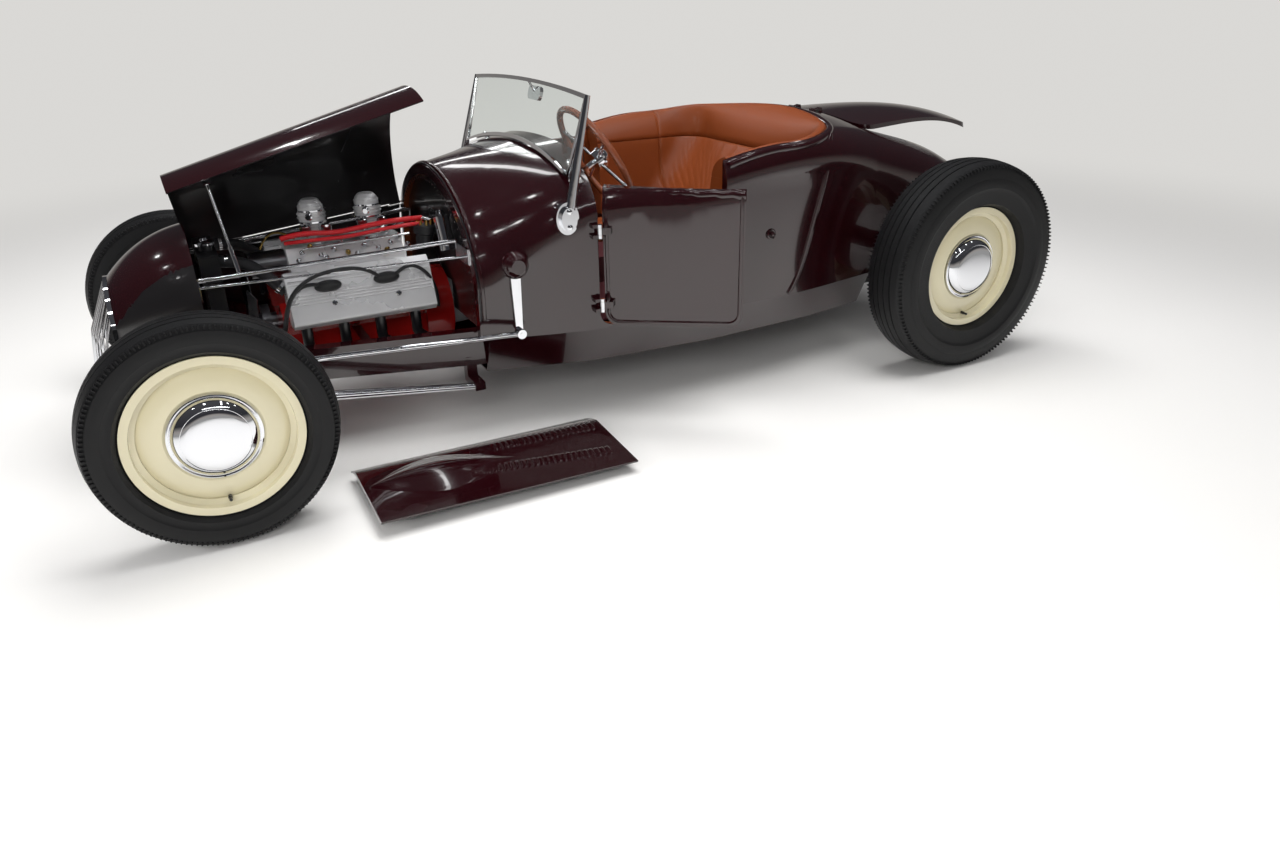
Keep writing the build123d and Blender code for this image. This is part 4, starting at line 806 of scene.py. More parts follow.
blister_front, blister_back = -0.955, -0.50
blister_width, blister_height = 0.165, 0.030
panel_rest = 0.03
blister = bmesh.new()
blister_rows = []
for step in range(33):
    share = step / 32
    y = blister_front + (blister_back - blister_front) * share
    spread = blister_width * sin(pi * share ** 0.8) ** 1.2 * (0.55 + 0.45 * share)
    middle = 0.722 + 0.02 * share
    row = []
    for cross in range(-12, 13):
        x = middle + spread * cross / 12
        ground = dropped(panel_tree, [(x, y)])
        base = ground[0].z if ground else panel_rest
        crown = cos(pi * cross / 24) ** 1.6 if abs(cross) < 12 else 0
        dome = blister_height * sin(pi * share ** 0.8) * crown
        row.append(blister.verts.new(car(x, y, base - 0.0015 + dome)))
    blister_rows.append(row)
skinned(blister, blister_rows)
bmesh.ops.remove_doubles(blister, verts=blister.verts, dist=0.00005)
facing_up(blister, 2)
carried(made("loose_side_blister", blister, maroon), "chassis")

brace_radius = 0.003
brace_ends = [car(0.10, -0.672, 0.98), car(-0.20, -0.690, 0.80)]
brace_line = [hood_tree.find_nearest(place)[0] for place in brace_ends]
piped("hood_brace", brace_line, brace_radius, chrome, "hood_top", smooth=False)

# Engine: a small V8 in red enamel under cast covers, with two carburettors on a cast manifold.
# Leads run in black rubber boots and fuel in red braided hose; nuts and linkage are plated.
rubber = finish_of("black_rubber", (0.01, 0.01, 0.011), 0.42, (500.0, 0.15), drift=0.2)
red_hose = finish_of("red_braided_hose", (0.42, 0.008, 0.012), 0.3, (1500.0, 0.5), coat=0.4, drift=0.15)
brass = finish_of("brass_fitting", (0.62, 0.42, 0.12), 0.25, (300.0, 0.05), metal=1.0, drift=0.1)
dressed("engine_block", engine_red)
dressed("valve_covers", cast)
dressed("carburettors", cast)


def turned(name, outline, centre, direction, material, steps=24, loop=False):
    """A spun part that looks along a direction."""
    piece = spun(name, outline, centre, steps, material, loop)
    turn = Vector((1, 0, 0)).rotation_difference(Vector(direction).normalized()).to_matrix().to_4x4()
    piece.data.transform(Matrix.Translation(centre) @ turn @ Matrix.Translation(-centre))
    return piece


def fitting(name, outline, centre, direction, material=chrome, steps=24, body="chassis"):
    """A turned fitting that stands on a body and looks along a direction."""
    return carried(turned(name, outline, centre, direction, material, steps), body)


def mirrored_points(points, sign):
    """Points given for the left side, on either side."""
    return [car(sign * x, y, z) for x, y, z in points]


cover_low, cover_high = Vector((0.3064, 0.432)), Vector((0.2624, 0.556))
cover_normal = Vector((0.124, 0, 0.044)).normalized()
cover_rib_shares = (0.46, 0.53, 0.60, 0.67, 0.94, 1.02)
cover_front, cover_back = -1.018, -0.587
rib_radius = 0.0026
nut_outline = [(0.0, 0.009), (0.003, 0.009), (0.0045, 0.0078), (0.009, 0.0078), (0.011, 0.005), (0.0115, 0.0)]
nut_x, nut_z = 0.2880, 0.482
boot_x, boot_z = 0.2790, 0.536
boot_size = (0.050, 0.098, 0.034)
boot_lean = radians(-62)
lead_radius = 0.0058
lead_paths = [
    [(0.286, -0.935, 0.545), (0.300, -0.975, 0.560), (0.306, -1.030, 0.530), (0.300, -1.045, 0.450),
     (0.250, -1.050, 0.400)],
    [(0.286, -0.750, 0.545), (0.300, -0.790, 0.585), (0.303, -0.88, 0.592), (0.308, -0.97, 0.575),
     (0.312, -1.036, 0.520), (0.304, -1.052, 0.440), (0.250, -1.054, 0.395)],
    [(0.286, -0.695, 0.545), (0.292, -0.66, 0.575), (0.285, -0.61, 0.560), (0.27, -0.565, 0.49),
     (0.22, -0.555, 0.40)],
]


def plug_boot(y, sign):
    """A rounded rubber boot over a pair of plugs."""
    work = bmesh.new()
    bmesh.ops.create_cube(work, size=1.0)
    bmesh.ops.scale(work, vec=boot_size, verts=work.verts)
    holder = made("boot", work, rubber)
    round_off = holder.modifiers.new("round", "SUBSURF")
    round_off.levels = round_off.render_levels = 3
    boot = settled(holder, "boot")
    for face in boot.data.polygons:
        face.use_smooth = True
    tilt = Matrix.Rotation(sign * boot_lean, 4, "Y")
    boot.data.transform(Matrix.Translation(car(sign * boot_x, y, boot_z)) @ tilt)
    return boot


for hand, sign in hands:
    ribs = []
    for share in cover_rib_shares:
        x, z = cover_low.lerp(cover_high, share)
        line = mirrored_points([(x, cover_front, z), (x, cover_back, z)], sign)
        ribs.append(piped("rib", line, rib_radius, cast, None, smooth=False, sides=2))
    carried(joined("valve_cover_ribs_" + hand, ribs), "chassis")
    for index, y in enumerate((-0.895, -0.696)):
        way = (sign * cover_normal.x, 0, cover_normal.z)
        fitting("cover_nut_%s_%d" % (hand, index), nut_outline, car(sign * nut_x, y, nut_z), way)
    leads = [plug_boot(y, sign) for y in (-0.905, -0.725)]
    for path in lead_paths:
        leads.append(piped("lead", mirrored_points(path, sign), lead_radius, rubber, None))
    carried(joined("plug_leads_" + hand, leads), "chassis")

upward = (0, 0, 1)
carburettor_rings = [
    # height, radius, thickness
    (0.612, 0.0480, 0.006), (0.628, 0.0475, 0.004), (0.644, 0.0405, 0.004), (0.656, 0.0400, 0.003),
    (0.667, 0.0405, 0.003), (0.679, 0.0470, 0.006), (0.693, 0.0450, 0.003), (0.704, 0.0450, 0.003),
    (0.715, 0.0465, 0.006), (0.729, 0.0395, 0.0025), (0.738, 0.0345, 0.0025),
]
ring_width, ring_round, plated_ring = 0.012, 0.001, 0.005
screw_circle = 0.0385
screw_outline = [(0, 0.0035), (0.005, 0.0035), (0.006, 0.0025), (0.006, 0)]
bowl_outline = [
    (0, 0), (0, 0.017), (0.003, 0.019), (0.034, 0.019), (0.038, 0.015), (0.040, 0.006), (0.046, 0.005),
    (0.046, 0),
]
choke_outline = [(0, 0), (0, 0.012), (0.02, 0.012), (0.022, 0.008), (0.03, 0.008), (0.03, 0)]
for index, y in enumerate((-0.880, -0.700)):
    parts = []
    for height, radius, thick in carburettor_rings:
        inner, outer = radius - ring_width, radius + ring_round
        outline = [(0, inner), (0, radius), (ring_round, outer), (thick, outer), (thick, inner)]
        metal = chrome if thick > plated_ring else cast
        parts.append(turned("ring", outline, car(0, y, height), upward, metal, 48, loop=True))
    for step in range(6):
        angle = tau * step / 6
        place = car(screw_circle * cos(angle), y + screw_circle * sin(angle), 0.689)
        parts.append(turned("screw", screw_outline, place, upward, chrome, 10))
    for along in (-0.0315, 0.0315):
        parts.append(turned("bowl", bowl_outline, car(0.048, y + along, 0.642), upward, chrome))
    parts.append(turned("choke", choke_outline, car(0.040, y - 0.012, 0.705), (1, -0.3, 0), chrome, 20))
    carried(joined("carburettor_details_%d" % index, parts), "chassis")

joint_outline = [
    (0, 0), (0, 0.005), (0.010, 0.005), (0.011, 0.0085), (0.019, 0.0085), (0.023, 0.005), (0.030, 0.0045),
    (0.031, 0),
]
joint_pitch = 0.0235
for index in range(16):
    share = (0.2, 0.6, 0.9, 0.35)[index % 4]
    place = car(0.096 - 0.036 * share, -0.960 + joint_pitch * index, 0.560 + 0.052 * share)
    way = (0.82, (0.25, -0.2, 0.1)[index % 3], 0.57)
    metal, slot = (brass, "steel") if index % 5 == 2 else (chrome, "chrome")
    fitting("linkage_joint_%02d" % index, joint_outline, place, way, metal, 16)

hose_runs = [
    # name, radius, finish, slot, points
    ("fuel_hose_upper", 0.0085, red_hose, "engine_red",
     [(0.075, -0.995, 0.650), (0.095, -0.93, 0.668), (0.092, -0.86, 0.652), (0.088, -0.78, 0.655),
      (0.098, -0.70, 0.668), (0.10, -0.62, 0.672), (0.095, -0.545, 0.668)]),
    ("fuel_hose_lower", 0.0065, red_hose, "engine_red",
     [(0.065, -0.985, 0.632), (0.098, -0.90, 0.640), (0.105, -0.80, 0.635), (0.105, -0.70, 0.648),
      (0.112, -0.60, 0.655), (0.105, -0.545, 0.652)]),
    ("throttle_rod", 0.003, chrome, "chrome", [(0.070, -0.90, 0.632), (0.070, -0.68, 0.632)]),
    ("linkage_rod", 0.0035, chrome, "chrome", [(0.122, -0.94, 0.620), (0.122, -0.60, 0.628)]),
    ("breather_pipe", 0.006, chrome, "chrome",
     [(0.05, -0.66, 0.62), (0.06, -0.62, 0.66), (0.09, -0.57, 0.68), (0.11, -0.52, 0.66)]),
    ("vacuum_pipe", 0.004, brass, "steel",
     [(-0.04, -0.94, 0.62), (-0.05, -0.99, 0.66), (0.02, -1.03, 0.67), (0.05, -1.06, 0.62)]),
]
for name, radius, material, slot, points in hose_runs:
    piped(name, mirrored_points(points, 1), radius, material, "chassis")
water_hose = [
    (0.215, -1.022, 0.520), (0.205, -1.050, 0.550), (0.165, -1.085, 0.590), (0.130, -1.130, 0.612),
    (0.118, -1.190, 0.615),
]
water_hose_radius = 0.0185
clip_outline = [(-0.005, 0.0190), (-0.005, 0.0205), (0.005, 0.0205), (0.005, 0.0190)]
hose_clips = [
    # name, place, the hose's direction there
    ("1036", (0.211, -1.036, 0.534), (-0.25, -0.68, 0.69)),
    ("1165", (0.121, -1.165, 0.6145), (-0.17, -0.98, 0.04)),
]
for hand, sign in hands:
    hose = mirrored_points(water_hose, sign)
    piped("water_hose_" + hand, hose, water_hose_radius, rubber, "chassis")
    for name, (x, y, z), way in hose_clips:
        way = (sign * way[0], way[1], way[2])
        fitting("hose_clip_%s_%s" % (hand, name), clip_outline, car(sign * x, y, z), way)

leaning = (0, 0.12, 1)
distributor_outline = [
    (0, 0), (0, 0.028), (0.030, 0.028), (0.034, 0.036), (0.058, 0.036), (0.066, 0.026), (0.070, 0.010),
    (0.070, 0),
]
tower_outline = [(0, 0), (0, 0.0055), (0.016, 0.0045), (0.016, 0)]
tower_circle = 0.024
coil_outline = [(0, 0), (0, 0.026), (0.11, 0.026), (0.112, 0.018), (0.130, 0.012), (0.130, 0)]
filler_outline = [
    (0, 0), (0, 0.026), (0.003, 0.030), (0.010, 0.031), (0.014, 0.027), (0.017, 0.012), (0.024, 0.009),
    (0.025, 0),
]
fitting("distributor", distributor_outline, car(0.105, -0.548, 0.585), leaning, rubber, 32)
for index in range(8):
    angle = tau * index / 8
    place = car(0.105 + tower_circle * cos(angle), -0.541 + tower_circle * sin(angle), 0.648)
    fitting("distributor_tower_%d" % index, tower_outline, place, leaning, brass, 10)
fitting("ignition_coil", coil_outline, car(0.20, -0.495, 0.575), (-0.3, -0.05, 1), steps=32)
fitting("filler_cap", filler_outline, car(0.060, -1.216, 0.6565), upward, steps=48)

# Windshield: a plated frame on two tapered posts with round feet, one pane, and a mirror under its top.
# The posts' feet are bolted to the cowl's sides; the hood's prop is plated too.
glass = bpy.data.materials.new("windshield_pane")
glass.use_nodes = True
pane = {"Base Color": (0.93, 0.97, 0.95, 1), "Roughness": 0.0, "Transmission Weight": 1.0, "IOR": 1.45}
for key, value in pane.items():
    glass.node_tree.nodes["Principled BSDF"].inputs[key].default_value = value
dressed("windshield_frame", chrome)
dressed("windshield_glass", glass)
dressed("mirror", chrome)
dressed("hood_prop", chrome)
foot_face = (0.555, -0.205, 0.706)
foot_bolt_away = 0.0238
bolt_outline = [(0.0, 0.0075), (0.003, 0.0085), (0.006, 0.0075), (0.008, 0.004), (0.0085, 0.0)]
for hand, sign in hands:
    for index, rise in enumerate((foot_bolt_away, -foot_bolt_away)):
        place = car(sign * foot_face[0], foot_face[1], foot_face[2] + rise)
        fitting("windshield_foot_bolt_%s_%d" % (hand, index), bolt_outline, place, (sign, 0, 0), steps=20)

# Cockpit: a broad leather roll runs round under the rim, over a leaning back sewn in upright pleats.
# Both are stretched over sponge on the tub's inside, with smooth panels at the sides.
pleat_pitch = 0.10
pleat_reach = 0.405
roll_foot = 0.765
ray_centre = Vector((0, 0.60))
upholstery_crease = radians(60)
panel_levels = [
    # height, half width, back y and corner radius of the room inside the upholstery
    (0.470, 0.440, 0.612, 0.090),
    (0.765, 0.452, 0.838, 0.110),
]


def room_line(height, grow=0.0):
    """Plan line of the room inside the upholstery, from its right front round to its left front."""
    (z0, wide0, back0, bend0), (z1, wide1, back1, bend1) = panel_levels
    share = (height - z0) / (z1 - z0)
    wide = wide0 + (wide1 - wide0) * share + grow
    back = back0 + (back1 - back0) * share + grow
    bend = bend0 + (bend1 - bend0) * share
    half = [(0, back)]
    for step in range(17):
        angle = pi / 2 * (1 - step / 16)
        half.append((wide - bend + bend * cos(angle), back - bend + bend * sin(angle)))
    half.append((wide, 0.2))
    return [(-x, y) for x, y in reversed(half[1:])] + half


def crossing(line, start, direction):
    """Where a plan ray meets a plan line."""
    side = Vector((-direction.y, direction.x))
    for first, second in zip(line, line[1:]):
        a, b = Vector(first) - start, Vector(second) - start
        da, db = a.dot(side), b.dot(side)
        if da * db <= 0 and abs(da - db) > 1e-12:
            place = a + (b - a) * (da / (da - db))
            if place.dot(direction) > 0:
                return start + place
    return None


rays = [(Vector((0, y / 1000)), Vector((-1, 0))) for y in range(368, 600, 8)]
ray_angles = [pi * step / 264 for step in range(265)]
rays += [(ray_centre, Vector((-cos(angle), sin(angle)))) for angle in ray_angles]
rays += [(start, -direction) for start, direction in reversed(rays[:29])]
rim_plan = cockpit_plan(0.0)
outside_rim = 0.012
averaged = 5
columns = []
for start, direction in rays:
    edge = crossing(rim_plan, start, direction)
    height = crown_height(edge.x + direction.x * outside_rim, edge.y + direction.y * outside_rim)
    columns.append([start, direction, edge, height or columns[-1][3]])
heights = [column[3] for column in columns]
for index, column in enumerate(columns):
    near = heights[max(0, index - averaged):index + averaged + 1]
    column[3] = sum(near) / len(near)


def lofted(name, sections, material):
    """A closed form through rings of points, its ends closed."""
    work = bmesh.new()
    loops = [[work.verts.new(point) for point in section] for section in sections]
    skinned(work, loops, round_each=True)
    work.faces.new(loops[0])
    work.faces.new(loops[-1])
    bmesh.ops.recalc_face_normals(work, faces=work.faces)
    shaded(work, upholstery_crease)
    return made(name, work, material)


def stretched(piece, node):
    """Upholstery over sponge, which stands for a CAD node."""
    carried(piece, "chassis", node)


seam_across, seam_away, seam_side = Vector((-0.144, 0.99)), 0.5936, 0.3
roll_lip, roll_fullness, roll_sag = 0.030, 0.80, 0.16
roll_seam_sunk, roll_seam_width = 0.0055, 0.007


def seam_share(place, width):
    """1 on the upright seams where the side panels meet the back, 0 a little beside them."""
    away = abs(Vector((abs(place.x), place.y)).dot(seam_across) - seam_away)
    return max(0.0, 1 - away / width) if abs(place.x) > seam_side else 0.0


roll_foot_line = room_line(roll_foot)
roll_rings = []
for start, direction, edge, top in columns:
    foot = crossing(roll_foot_line, start, direction)
    reach = (edge - foot).length
    drop = top - roll_foot
    sunk = roll_seam_sunk * seam_share(foot, roll_seam_width)
    outline = [(0.001, top - 0.030), (0.002, top + 0.001), (0.009, top + 0.008), (0.019, top + 0.0105)]
    for step in range(11):
        t = step / 10
        a, b, c = (1 - t) ** 2, 2 * t * (1 - t), t * t
        depth = a * roll_lip + b * (roll_lip + roll_fullness * (reach - roll_lip)) + c * reach
        height = a * (top + 0.0075) + b * (top - roll_sag * drop) + c * (roll_foot + 0.006)
        outline.append((depth - sunk, height - sunk))
    outline += [(reach - 0.006, roll_foot - 0.0015), (reach - 0.020, roll_foot), (0.004, roll_foot)]
    ring = []
    for depth, height in outline:
        spot = edge - direction * depth
        ring.append(car(spot.x, spot.y, height))
    roll_rings.append(ring)
stretched(lofted("cockpit_roll", roll_rings, leather), "cockpit_pad")

back_heights = (0.474, 0.492, 0.52, 0.55, 0.58, 0.61, 0.64, 0.67, 0.70, 0.725, 0.745, 0.757, 0.7645)
back_lines = [room_line(height) for height in back_heights]
back_thick, back_off_tub = 0.085, 0.012
side_swell, pleat_swell, pleat_sunk = 0.004, 0.007, 0.009
back_seam_sunk, back_seam_width = 0.008, 0.010
back_foot, foot_tuck, roll_tuck = 0.466, 0.03, 0.035
back_front_y = 0.5


def sewn_in(x, width, power):
    """1 on the pleats' sewn lines, 0 from a share of the pitch beside them."""
    phase = (x / pleat_pitch) % 1.0
    return (1 - min(1.0, min(phase, 1 - phase) / width)) ** power


back_rings = []
for start, direction, edge, top in columns:
    ring = []
    behind = edge - direction * back_off_tub
    for level in (roll_foot, back_heights[0]):
        outer = crossing(room_line(level, back_thick), start, direction)
        if (outer - start).length > (behind - start).length:
            outer = behind
        ring.append(car(outer.x, outer.y, level))
    for height, line in zip(back_heights, back_lines):
        spot = crossing(line, start, direction)
        tuck = min(1.0, (roll_foot - height) / roll_tuck, (height - back_foot) / foot_tuck)
        swell = side_swell
        if abs(spot.x) < pleat_reach and spot.y > back_front_y:
            swell = pleat_swell - pleat_sunk * sewn_in(spot.x, 0.32, 2.4)
        swell = swell * max(0.0, tuck) ** 0.5 - back_seam_sunk * seam_share(spot, back_seam_width)
        spot = spot - direction * swell
        ring.append(car(spot.x, spot.y, height))
    back_rings.append(ring)
stretched(lofted("seat_back_pleated", back_rings, leather), "seat_back")

cushion_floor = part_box("seat_cushion")[0].z
pad_left, pad_front, pad_back = 0.470, 0.232, 0.606
pad_low, pad_high = 0.436, 0.468
pad_crown, pad_pleats = 0.016, 0.010
side_pull, edge_round, edge_drop = 0.006, 0.006, 0.022
riser_inner, riser_outer, riser_front, riser_back = 0.114, 0.455, 0.240, 0.598
riser_high, riser_round = 0.437, 0.012


def cushion_form():
    """A crowned pad: pulled-in sides, rounded edges, and pleats that run fore and aft."""
    work = bmesh.new()
    across, along = 72, 24
    grid = {}
    for i in range(across + 1):
        for j in range(along + 1):
            u, v = i / across * 2 - 1, j / along * 2 - 1
            x = u * (pad_left - side_pull * (1 - v * v) * abs(u))
            half_length = (pad_back - pad_front) / 2 - side_pull * (1 - u * u) * abs(v)
            y = (pad_front + pad_back) / 2 + v * half_length
            edge = (1 - abs(u) ** 10) * (1 - abs(v) ** 8)
            swell = pad_crown * (1 - u * u * 0.4) * (1 - v * v * 0.5) * edge
            sewn = pad_pleats * sewn_in(x, 0.30, 2.6) * edge
            top = pad_high - edge_drop * (1 - edge) + swell - sewn
            bottom = pad_low + edge_round * (1 - edge)
            grid[i, j] = (work.verts.new(car(x, y, top)), work.verts.new(car(x, y, bottom)))
    for i in range(across):
        for j in range(along):
            a, b, c, d = grid[i, j], grid[i + 1, j], grid[i + 1, j + 1], grid[i, j + 1]
            work.faces.new((a[0], b[0], c[0], d[0]))
            work.faces.new((a[1], d[1], c[1], b[1]))
    rim = [(i, 0) for i in range(across)] + [(across, j) for j in range(along)]
    rim = rim + [(i, along) for i in range(across, 0, -1)] + [(0, j) for j in range(along, 0, -1)]
    for first, second in zip(rim, rim[1:] + rim[:1]):
        work.faces.new((grid[first][1], grid[second][1], grid[second][0], grid[first][0]))
    bmesh.ops.recalc_face_normals(work, faces=work.faces)
    for face in work.faces:
        face.smooth = True
    return made("cushion", work, leather)


blocks = [cushion_form()]
for hand, sign in hands:
    low_x, high_x = sorted((sign * riser_inner, sign * riser_outer))
    block = small_block("riser", low_x, high_x, riser_front, riser_back, cushion_floor, riser_high)
    block.data.transform(Matrix.Translation(car(0, 0, 0)))
    block.data.materials.append(leather)
    block.hide_render = False
    soften = block.modifiers.new("soften", "BEVEL")
    soften.width = riser_round
    soften.segments = 4
    blocks.append(settled(block, "riser"))
stretched(joined("seat_cushion_sewn", blocks), "seat_cushion")

# Controls and steering: a brown rim on four plated spokes; pedals with rubber faces; a plated lever.
# The column is cast and clamped; the wheel's middle carries a plated horn cap.
rim_brown = finish_of("steering_rim_brown", (0.17, 0.045, 0.018), 0.22, (260.0, 0.05), coat=0.5, drift=0.15)
wheel_hub = car(0.300, 0.013, 0.831)
column_axis = Vector((0, 0.87275826, 0.48815292))
rim_inner = 0.1785
pedal_top = 0.452
lever_reach, lever_top = 0.06, 0.683


def on_spokes(place, normal):
    """True inside the rim of the steering wheel."""
    away = place - wheel_hub
    return (away - column_axis * away.dot(column_axis)).length < rim_inner


dressed("steering_wheel", rim_brown, chrome, on_spokes)
horn_outline = [
    (0.0, 0.0), (0.0, 0.034), (0.006, 0.036), (0.010, 0.033), (0.014, 0.026), (0.020, 0.024), (0.026, 0.016),
    (0.029, 0.0),
]
horn_place = wheel_hub + column_axis * 0.0125
fitting("horn_cap", horn_outline, horn_place, column_axis, steps=48, body="steering_wheel")


def control_faces(place, normal):
    """True on the pedals' feet and arms, and on the lever below its knob."""
    return place.z < pedal_top or (abs(place.x - car_x) < lever_reach and place.z < lever_top)


dressed("controls", rubber, chrome, control_faces)

# Rear: round red lamps in plated rims, and a blank plate on its bracket.
# Each lamp has a ribbed lens; the plate is pressed sheet with a rolled edge.
lamp_red = finish_of("lamp_red", (0.5, 0.006, 0.006), 0.12, (150.0, 0.02), coat=0.6, drift=0.1)
plate_paint = finish_of("plate_enamel", (0.72, 0.71, 0.66), 0.3, (400.0, 0.04), coat=0.3, drift=0.05)
lens_rise = 0.0096
lens_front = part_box("tail_lamps")[1].y - lens_rise
lens_outline = [
    (0.0, 0.0305), (0.003, 0.0305), (0.004, 0.0285), (0.0035, 0.0250), (0.0058, 0.0235), (0.0055, 0.0190),
    (0.0078, 0.0175), (0.0075, 0.0125), (0.0092, 0.0110), (0.0095, 0.0),
]
lamp_rim = [(0.0, 0.0300), (0.0045, 0.0305), (0.0058, 0.0325), (0.0050, 0.0345), (0.0, 0.0352)]
backward = (0, 1, 0)
lamp_x, lamp_z = 0.205, 0.470
for vertex in dressed("tail_lamps", chrome).data.vertices:
    vertex.co.y = min(vertex.co.y, lens_front)
for hand, sign in hands:
    centre = car(sign * lamp_x, 0, lamp_z)
    centre.y = lens_front - 0.0005
    fitting("tail_lens_" + hand, lens_outline, centre, backward, lamp_red, 64)
    centre.y = lens_front - 0.0004
    fitting("tail_bezel_" + hand, lamp_rim, centre, backward, steps=64)
dressed("plate_bracket", plate_paint)
plate_low, plate_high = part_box("plate_bracket")
plate_middle = (plate_low + plate_high) / 2
plate_wide, plate_tall, plate_bend = 0.140, 0.064, 0.009
plate_bead = 0.0016
edge_points = []
for dx, dz, turn in ((-1, -1, 180), (1, -1, 270), (1, 1, 0), (-1, 1, 90)):
    corner = Vector((plate_middle.x + dx * plate_wide, plate_high.y, plate_middle.z + dz * plate_tall))
    for step in range(5):
        angle = radians(turn + 22.5 * step)
        edge_points.append(corner + Vector((plate_bend * cos(angle), 0, plate_bend * sin(angle))))
piped("plate_edge", edge_points, plate_bead, plate_paint, "chassis", False, 3, True)

# Door tops, dash and small trim: rolled edges and beads on the doors, a painted dash with five plain
# dials, rivets round the hoop's flange, a painted knob behind the door and a plated nut by each post.
dial_black = finish_of("dial_black", (0.01, 0.01, 0.012), 0.25, (300.0, 0.02), coat=0.8, drift=0.1)
dial_white = finish_of("dial_white", (0.75, 0.74, 0.70), 0.4, drift=0.05)
door_roll_radius, door_roll_inset, door_roll_sunk = 0.0155, 0.008, 0.0135
door_bead_radius, door_bead_sunk = 0.0065, 0.0022
door_roll_front, door_roll_back = 0.016, 0.452
edge_scan = range(60, -80, -2)
edge_step = 0.004


def door_axes(sign, swing):
    """A door's hinge on the floor, the direction along the door and its outward one."""
    ahead = Vector((sign * sin(swing), cos(swing), 0))
    outward = Vector((sign * cos(swing), -sin(swing), 0))
    return car(sign * hinge_x, hinge_y, 0), ahead, outward


def door_edge(tree, sign, swing):
    """The top edge of a door, from the hinge to the latch, a little in from its outer face."""
    start, ahead, outward = door_axes(sign, swing)
    points = []
    for step in range(25):
        along = door_roll_front + (door_roll_back - door_roll_front) * step / 24
        outer = None
        for across in edge_scan:
            spot = start + ahead * along + outward * (across / 1000)
            hit = tree.ray_cast(Vector((spot.x, spot.y, 1.3)), down, 0.62)[0]
            if hit and (outer is None or hit.z > outer.z + edge_step):
                outer = hit
        if outer:
            points.append(outer - outward * door_roll_inset - Vector((0, 0, door_roll_sunk)))
    return points


def door_border(tree, sign, swing):
    """Points round a door's outer face, a little in from its edges."""
    start, ahead, outward = door_axes(sign, swing)
    front, back, low, high, bend = 0.018, 0.441, 0.359, 0.768, 0.034
    angles = [radians(15 * step) for step in range(7)]
    bends = [(bend * (1 - cos(angle)), bend * (1 - sin(angle))) for angle in angles]
    line = [(front, high - 0.02 * step) for step in range(19)]
    line += [(front + x, low + z) for x, z in bends]
    line += [(front + bend + (back - front - 2 * bend) * step / 16, low) for step in range(1, 16)]
    line += [(back - z, low + x) for x, z in bends]
    line += [(back, low + bend + (high - low - bend) * step / 16) for step in range(1, 17)]
    points = []
    for along, height in line:
        spot = start + ahead * along + outward * 0.3
        hit = tree.ray_cast(Vector((spot.x, spot.y, height)), -outward, 0.6)[0]
        if hit:
            points.append(hit - outward * door_bead_sunk)
    return points


for (hand, sign), swing in zip(hands, (door_turn, 0.0)):
    node = "door_" + hand
    tree = surface_of(node)
    beaded("door_roll_" + hand, door_edge(tree, sign, swing), door_roll_radius, node)
    beaded("door_bead_" + hand, door_border(tree, sign, swing), door_bead_radius, node)

dash_y = -0.088
dash_low = 0.700
dash_off_cowl, dash_thick = 0.004, 0.003
mark_half, mark_share = 0.0006, 0.09
dash = bmesh.new()
outline = under_cowl(dash_y, 0.62, fan(radians(8), radians(172)), dash_low, dash_off_cowl)
corners = [Vector((end.x, end.y, dash_low)) for end in (outline[0], outline[-1])]
dash.faces.new([dash.verts.new(point) for point in (corners[0], *outline, corners[1])])
bmesh.ops.recalc_face_normals(dash, faces=dash.faces)
holder = made("dash", dash, maroon)
wall = holder.modifiers.new("wall", "SOLIDIFY")
wall.thickness = dash_thick
wall.offset = 0
parts = [settled(holder, "dash_panel")]
dials = [
    # x, z, radius
    (0.0, 0.792, 0.042), (0.105, 0.786, 0.030), (-0.105, 0.786, 0.030), (0.185, 0.776, 0.026),
    (-0.185, 0.776, 0.026),
]
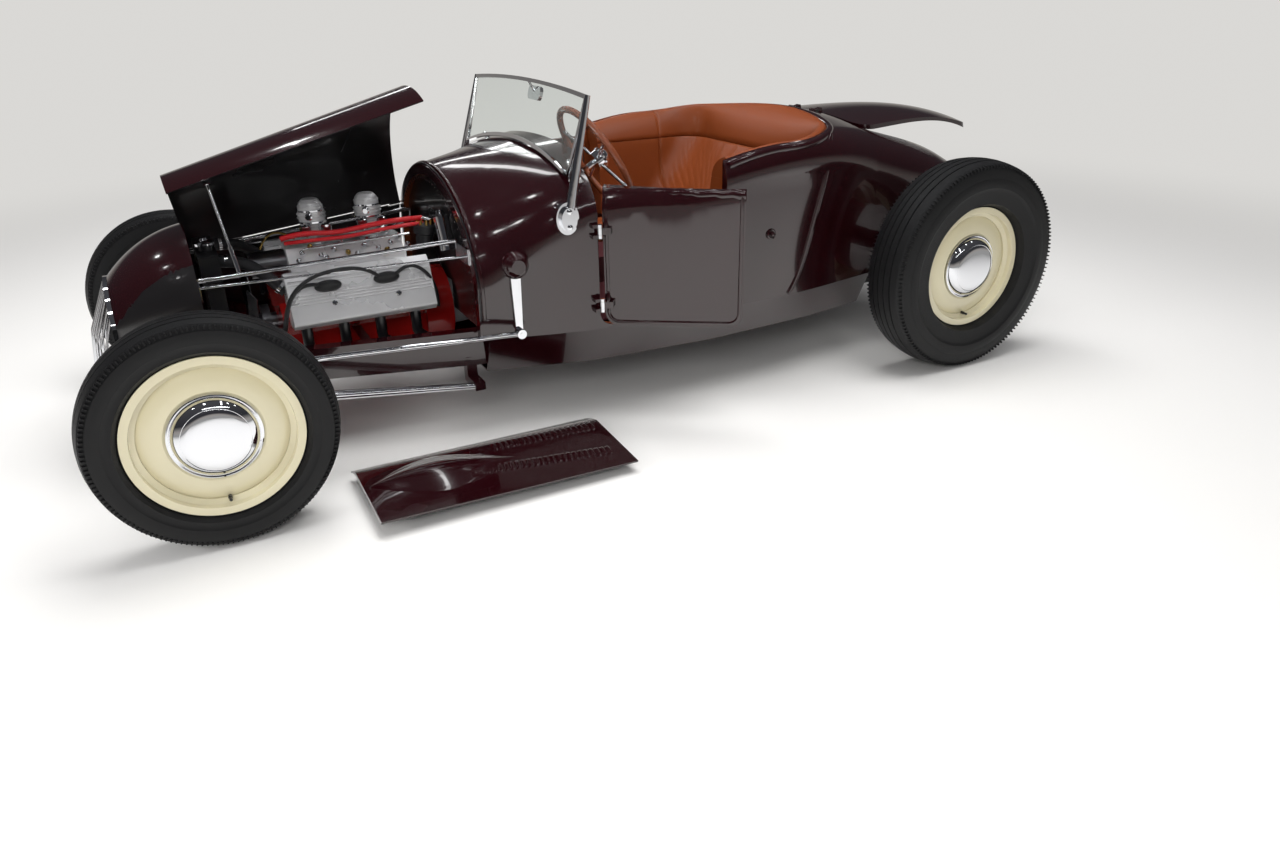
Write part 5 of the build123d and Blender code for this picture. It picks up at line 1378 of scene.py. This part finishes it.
# angle, distance from the middle as a share of the radius, height over the face, stretch; the needle last
dial_marks = [(radians(-130 + 26 * index), 0.72, 0.0034, 1.0) for index in range(11)]
dial_marks.append((radians(-70), 0.3, 0.0040, 4.2))
for x, z, radius in dials:
    centre = car(x, dash_y + 0.0015, z)
    rim = [(0.0, radius), (0.004, radius + 0.0015), (0.007, radius), (0.0075, radius - 0.003)]
    rim.append((0.003, radius - 0.0045))
    parts.append(turned("bezel", rim, centre, backward, chrome, 48, loop=True))
    face = [(0.0, radius - 0.003), (0.0028, radius - 0.0035), (0.0028, 0.0)]
    parts.append(turned("face", face, centre, backward, dial_black, 48))
    length = radius * mark_share
    mark = small_block("mark", -mark_half, 0.0, -mark_half, mark_half, -length, length)
    for angle, share, rise, stretch in dial_marks:
        copy = placed("mark", mark.data.copy())
        copy.data.materials.append(dial_white)
        place = centre + Vector((sin(angle) * radius * share, rise, cos(angle) * radius * share))
        turn = Matrix.Rotation(angle, 4, "Y") @ Matrix.Rotation(pi / 2, 4, "Z")
        copy.data.transform(Matrix.Translation(place) @ turn @ Matrix.Diagonal((1, 1, stretch, 1)))
        parts.append(copy)
    bpy.data.objects.remove(mark)
carried(joined("dash", parts), "chassis")

flange_y, flange_foot = -0.487, 0.36
rivet_in, rivet_ahead = 0.012, 0.0042
rivet_outline = [(0.0, 0.0034), (0.0012, 0.0030), (0.0019, 0.0018), (0.0021, 0.0)]
rivet = spun("rivet", rivet_outline, Vector((0, 0, 0)), 10, maroon, loop=False)
flange = under_cowl(flange_y, hoop_middle_z, fan(0, pi), flange_foot, rivet_in)
rivet_line = [point + Vector((0, -rivet_ahead, 0)) for point in flange]
rivets = repeated("hoop_rivets", rivet_line, rivet, 44, car(0, far_off, 0.5), maroon)
carried(rivets, "chassis")
bpy.data.objects.remove(rivet)

knob_outline = [
    (0.0, 0.0185), (0.003, 0.0195), (0.006, 0.0185), (0.0075, 0.0150), (0.006, 0.0125), (0.006, 0.0085),
    (0.012, 0.0078), (0.016, 0.0060), (0.018, 0.0),
]
knob_place = on_side(body_tree, 0.534, 0.572, 1) - Vector((0.0012, 0, 0))
fitting("lock_knob", knob_outline, knob_place, (1, 0.08, 0.12), maroon, 40)
acorn_outline = [
    (0.0, 0.0085), (0.004, 0.0090), (0.006, 0.0105), (0.012, 0.0105), (0.018, 0.0080), (0.021, 0.0045),
    (0.022, 0.0),
]
for hand, sign in hands:
    place, normal = cowl_tree.ray_cast(car(sign * 0.400, -0.128, 1.2), down, 1.0)[:2]
    fitting("cowl_nut_" + hand, acorn_outline, place - normal * 0.001, tuple(normal), steps=28)
